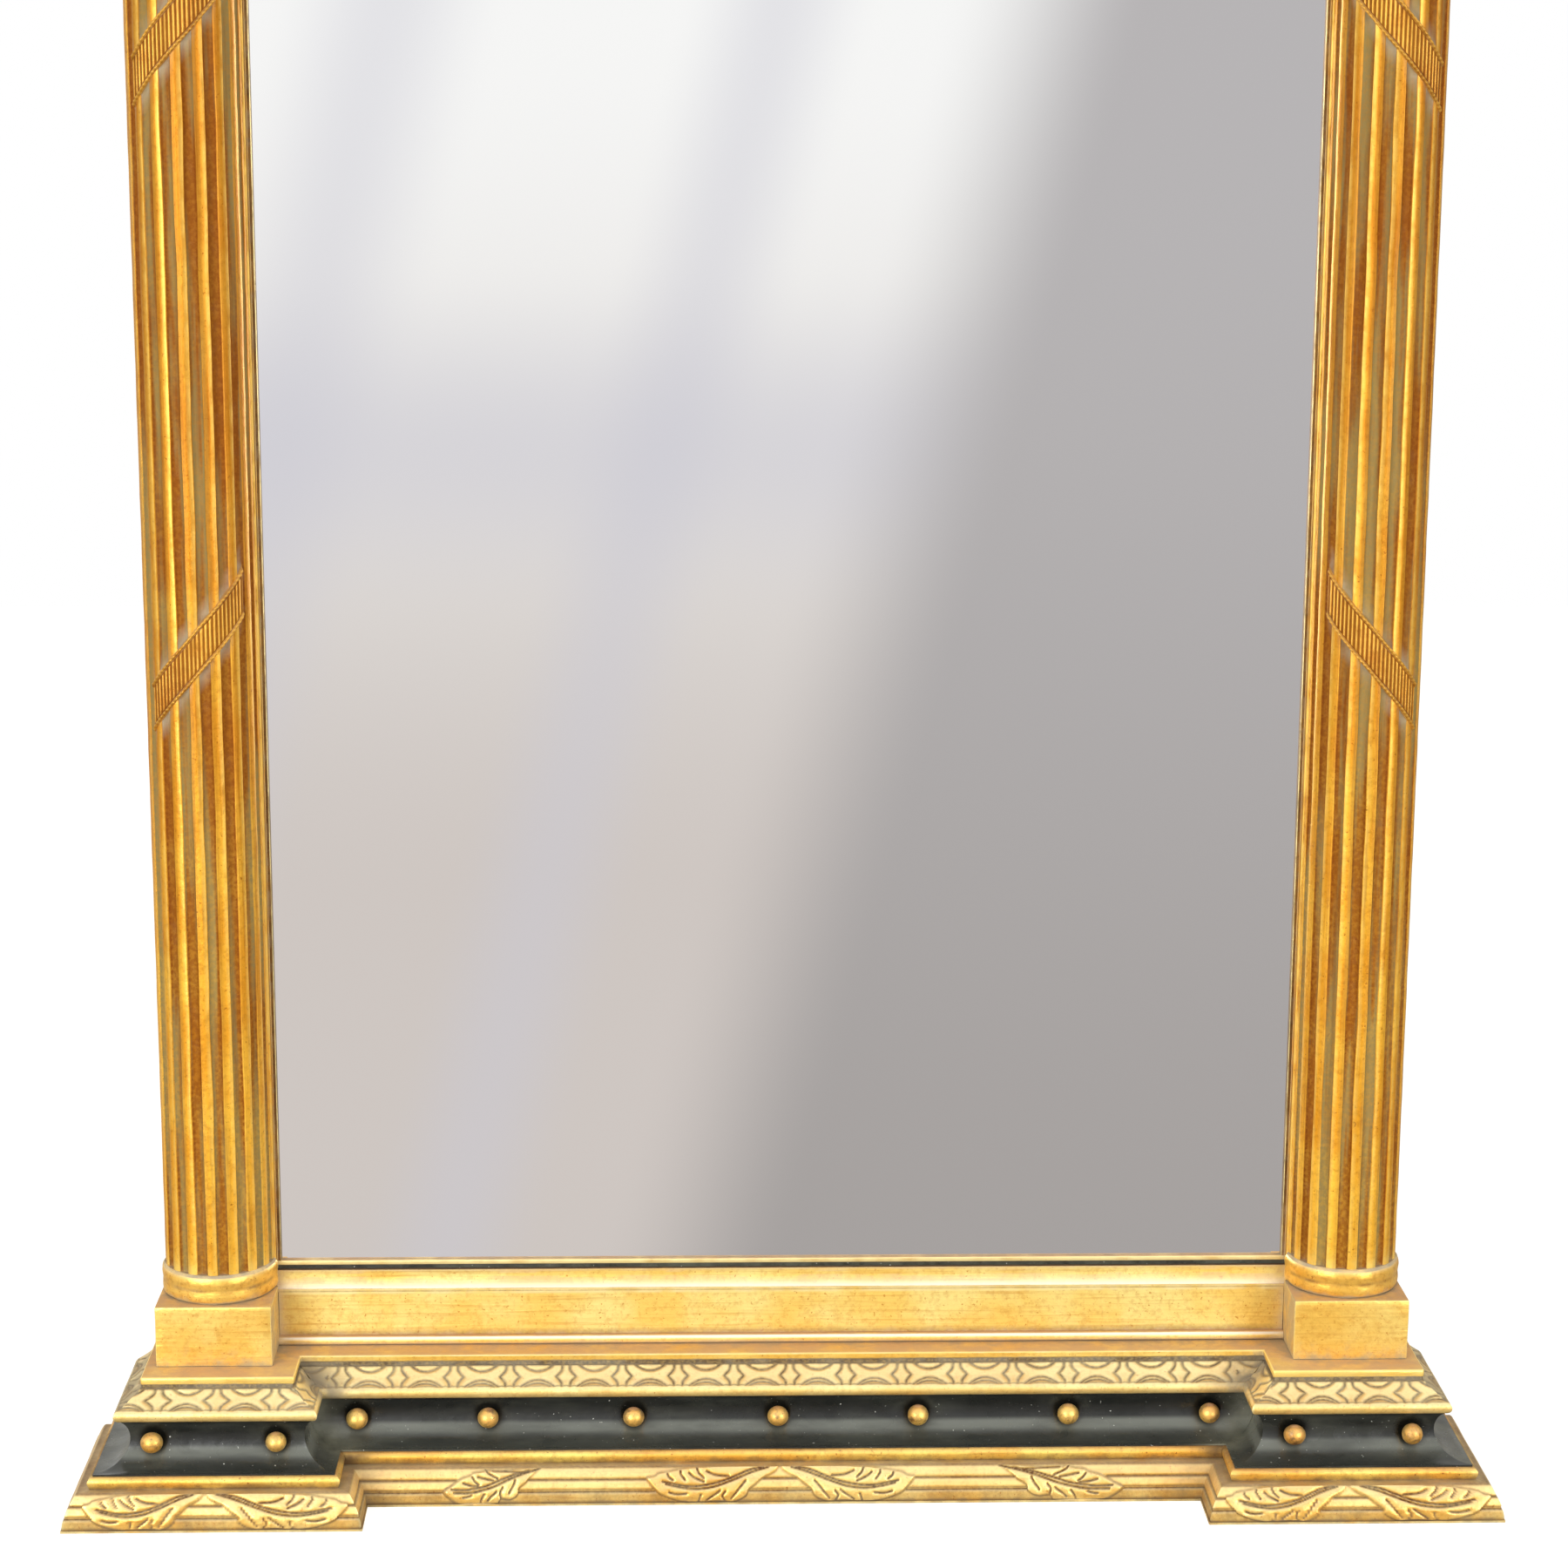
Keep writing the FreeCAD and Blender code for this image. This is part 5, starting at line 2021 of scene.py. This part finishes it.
    def build(self) -> None:
        """Makes the mouldings at both ends of the glass, and the slips round it."""
        for end, part in ((End.BASE, "bottom"), (End.CORNICE, "top")):
            for name, section, half, lines in (
                    ("fascia", self.fascia(), self.fascia_half, self.fascia_shade_lines),
                    ("cove", self.cove(), self.sight, self.cove_lines)):
                plan = [(side * half, 0.0, 0.0, -1.0) for side in (-1, 1)]
                made = swept(section, plan, self.step, end, partial(self.relief, lines),
                             self.grime)
                put(made, f"{part}_{name}", "_worn", "flat_gilt", PANEL_GILT)
            self.slip(f"{part}_slip")
        for place in SIDES:
            self.side_slip(place)


@dataclass(frozen=True)
class Carcass:
    """Boards behind the gilding, the glass and the fittings on the back."""

    ledge_rounding: float = 1.3
    stile_rounding: float = 0.5
    stile_shortest: float = 200.0
    kept: tuple[tuple[Finish, tuple[str, ...]], ...] = (
        (FRAME_PINE, ("base_core", "cornice_core", "base_outer_board", "cornice_outer_board",
                      "bottom_rail", "top_rail")),
        (MIRROR, ("mirror_plate",)), (BACKBOARD_PINE, ("backboards",)),
        (STEEL, ("board_nails", "hanger_screws")),
        (BRASS, ("hanger_straps", "hanger_ring_left", "hanger_ring_right")))

    @staticmethod
    def bare_behind(made: Mesh) -> Mesh:
        """Gives the faces towards the wall the second finish.

        Args:
            made: The mesh.

        Returns:
            The same mesh.
        """
        for face in made.faces:
            face.normal_update()
            face.material_index = int(face.normal.y > 0.5)
        return made

    def build(self) -> None:
        """Dresses the nodes that stay, and makes the ledges and stiles."""
        for finish, nodes in self.kept:
            for node in nodes:
                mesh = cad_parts[node].data
                mesh.materials.clear()
                mesh.materials.append(finish.material())
                LOG.info("%s: dressed", node)
        for end in End:
            node = f"{end.value}_ledge"
            made = self.bare_behind(worn_copy(node, self.ledge_rounding))
            put(made, node, "_worn", "flat_gilt", FLAT_GILT, FRAME_PINE)
        for place in SIDES:
            node = f"stile_{place.value}"
            made = worn_copy(node, self.stile_rounding, self.stile_shortest)
            put(self.bare_behind(made), node, "_gilt", "frame_pine", COLUMN_GILT, UPRIGHT_PINE)


@dataclass(frozen=True)
class Studio:
    """Pale floor, soft light and the camera of the photograph. Its sizes are metres."""

    camera_place: tuple[float, float, float] = (-0.07208, -2.26995, 0.99131)
    yaw: float = -1.75
    pitch: float = 11.94
    roll: float = 0.29
    lens: float = 78.268
    sensor: float = 36.0
    floor_size: float = 8.0
    floor_lit: Colour = (0.5, 0.48, 0.45, 1)
    floor_seen: Colour = (0.6, 0.6, 0.6, 1)
    floor_glow: float = 0.7
    sky: float = 0.62
    lamp_size: float = 1.5
    lamps: tuple[tuple[str, tuple[float, float, float], float], ...] = (
        ("key", (-1.8, -2.5, 0.8), 60.0), ("fill", (2.1, -2.5, 0.8), 50.0))
    aim: tuple[float, float, float] = (0.0, 0.0, 0.8)
    ceiling: Colour = (1.05, 1.03, 1.0, 1)
    ground: Colour = (0.28, 0.25, 0.22, 1)
    window_lean: float = 0.27

    def camera(self) -> None:
        """Sets the camera at the photograph's viewing angle."""
        data = bpy.data.cameras.new("camera")
        data.lens, data.sensor_width = self.lens, self.sensor
        camera = linked("camera", data)
        turn = (Matrix.Rotation(math.radians(self.yaw), 4, "Z")
                @ Matrix.Rotation(math.radians(90 - self.pitch), 4, "X")
                @ Matrix.Rotation(math.radians(self.roll), 4, "Z"))
        camera.matrix_world = Matrix.Translation(self.camera_place) @ turn
        bpy.context.scene.camera = camera

    def lights(self) -> None:
        """Hangs the soft lamps, which point at the object."""
        for name, place, power in self.lamps:
            data = bpy.data.lights.new(name, "AREA")
            data.size, data.energy = self.lamp_size, power
            way = Vector(self.aim) - Vector(place)
            linked(name, data).matrix_world = (
                Matrix.Translation(place) @ way.to_track_quat("-Z", "Y").to_matrix().to_4x4())

    def floor(self) -> None:
        """Lays the floor, which is white to the camera and keeps the shadow."""
        made = bmesh.new()
        bmesh.ops.create_grid(made, x_segments=1, y_segments=1, size=self.floor_size / 2)
        mesh = bpy.data.meshes.new("floor")
        made.to_mesh(mesh)
        made.free()
        floor = linked("floor", mesh)
        material = bpy.data.materials.new("floor")
        graph = Graph.of(material)
        seen = graph.node("LightPath").outputs["Is Camera Ray"]
        diffuse = graph.node("BsdfDiffuse",
                             {"Color": graph.mix(seen, self.floor_lit, self.floor_seen)})
        glow = graph.node("Emission", {"Color": WHITE,
                                       "Strength": graph.times(seen, self.floor_glow)})
        both = graph.node("AddShader", {0: diffuse.outputs[0], 1: glow.outputs[0]})
        graph.node("OutputMaterial", {"Surface": both.outputs[0]})
        mesh.materials.append(material)
        floor.visible_glossy = False

    def reflected(self, graph: Graph) -> Socket:
        """What glossy surfaces see: a pale room with a window's soft slanting light.

        Args:
            graph: Graph of the world, whose place is the direction of the ray.

        Returns:
            The colour's socket.
        """
        x, y, z = graph.parts(graph.place)
        ahead = graph.most(graph.times(y, -1.0), 0.05)
        across, rise = (graph.math("DIVIDE", part, ahead) for part in (x, z))
        slant = graph.less(across, graph.times(rise, self.window_lean))
        cool = tone(210, 209, 219)
        pale = graph.mix(graph.step(rise, -0.25, 0.02), tone(214, 206, 201),
                         tone(255, 255, 254))
        bars = [(graph.step(graph.gap(value, line), width, 0.0, share), cool)
                for value, line, width, share in ((slant, -0.088, 0.036, 0.45),
                                                  (slant, 0.024, 0.03, 0.45),
                                                  (rise, -0.11, 0.055, 0.55))]
        grey = graph.mix(graph.step(rise, -0.36, 0.0), tone(173, 168, 166),
                         tone(190, 187, 188))
        return graph.layers(pale, *bars, (graph.step(slant, 0.07, 0.13), grey),
                            (graph.step(z, 0.25, 0.8), self.ceiling),
                            (graph.step(z, -0.3, -0.8), self.ground))

    def world(self) -> None:
        """Makes the world: white to the camera, even light, and a room in reflections."""
        world = bpy.data.worlds.new("studio")
        bpy.context.scene.world = world
        graph = Graph.of(world)
        graph.place = graph.node("TexCoord").outputs["Object"]
        path = graph.node("LightPath").outputs
        colour = graph.layers((self.sky, self.sky, self.sky, 1),
                              (path["Is Glossy Ray"], self.reflected(graph)),
                              (path["Is Camera Ray"], WHITE))
        shown = graph.node("Background", {"Color": colour, "Strength": 1.0})
        graph.node("OutputWorld", {"Surface": shown.outputs[0]})

    def build(self) -> None:
        """Sets up the studio."""
        bpy.context.scene.view_settings.view_transform = "Standard"
        self.camera()
        self.lights()
        self.floor()
        self.world()


def main() -> None:
    """Builds the dressed mirror piece by piece."""
    logging.basicConfig(level=logging.INFO, format="%(name)s: %(message)s")
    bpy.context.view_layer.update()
    Studio().build()
    for end in End:
        for part in (LeafMoulding(), Bead(), Hollow(), Lattice(), BallRow(), FootRing()):
            part.build(end)
        for place in SIDES:
            PlinthBlock(place).build(end)
    for place in SIDES:
        column = Column(place)
        column.build()
        Ribbons(column).build()
    FrameFront().build()
    Carcass().build()


if __name__ == "__main__":
    main()
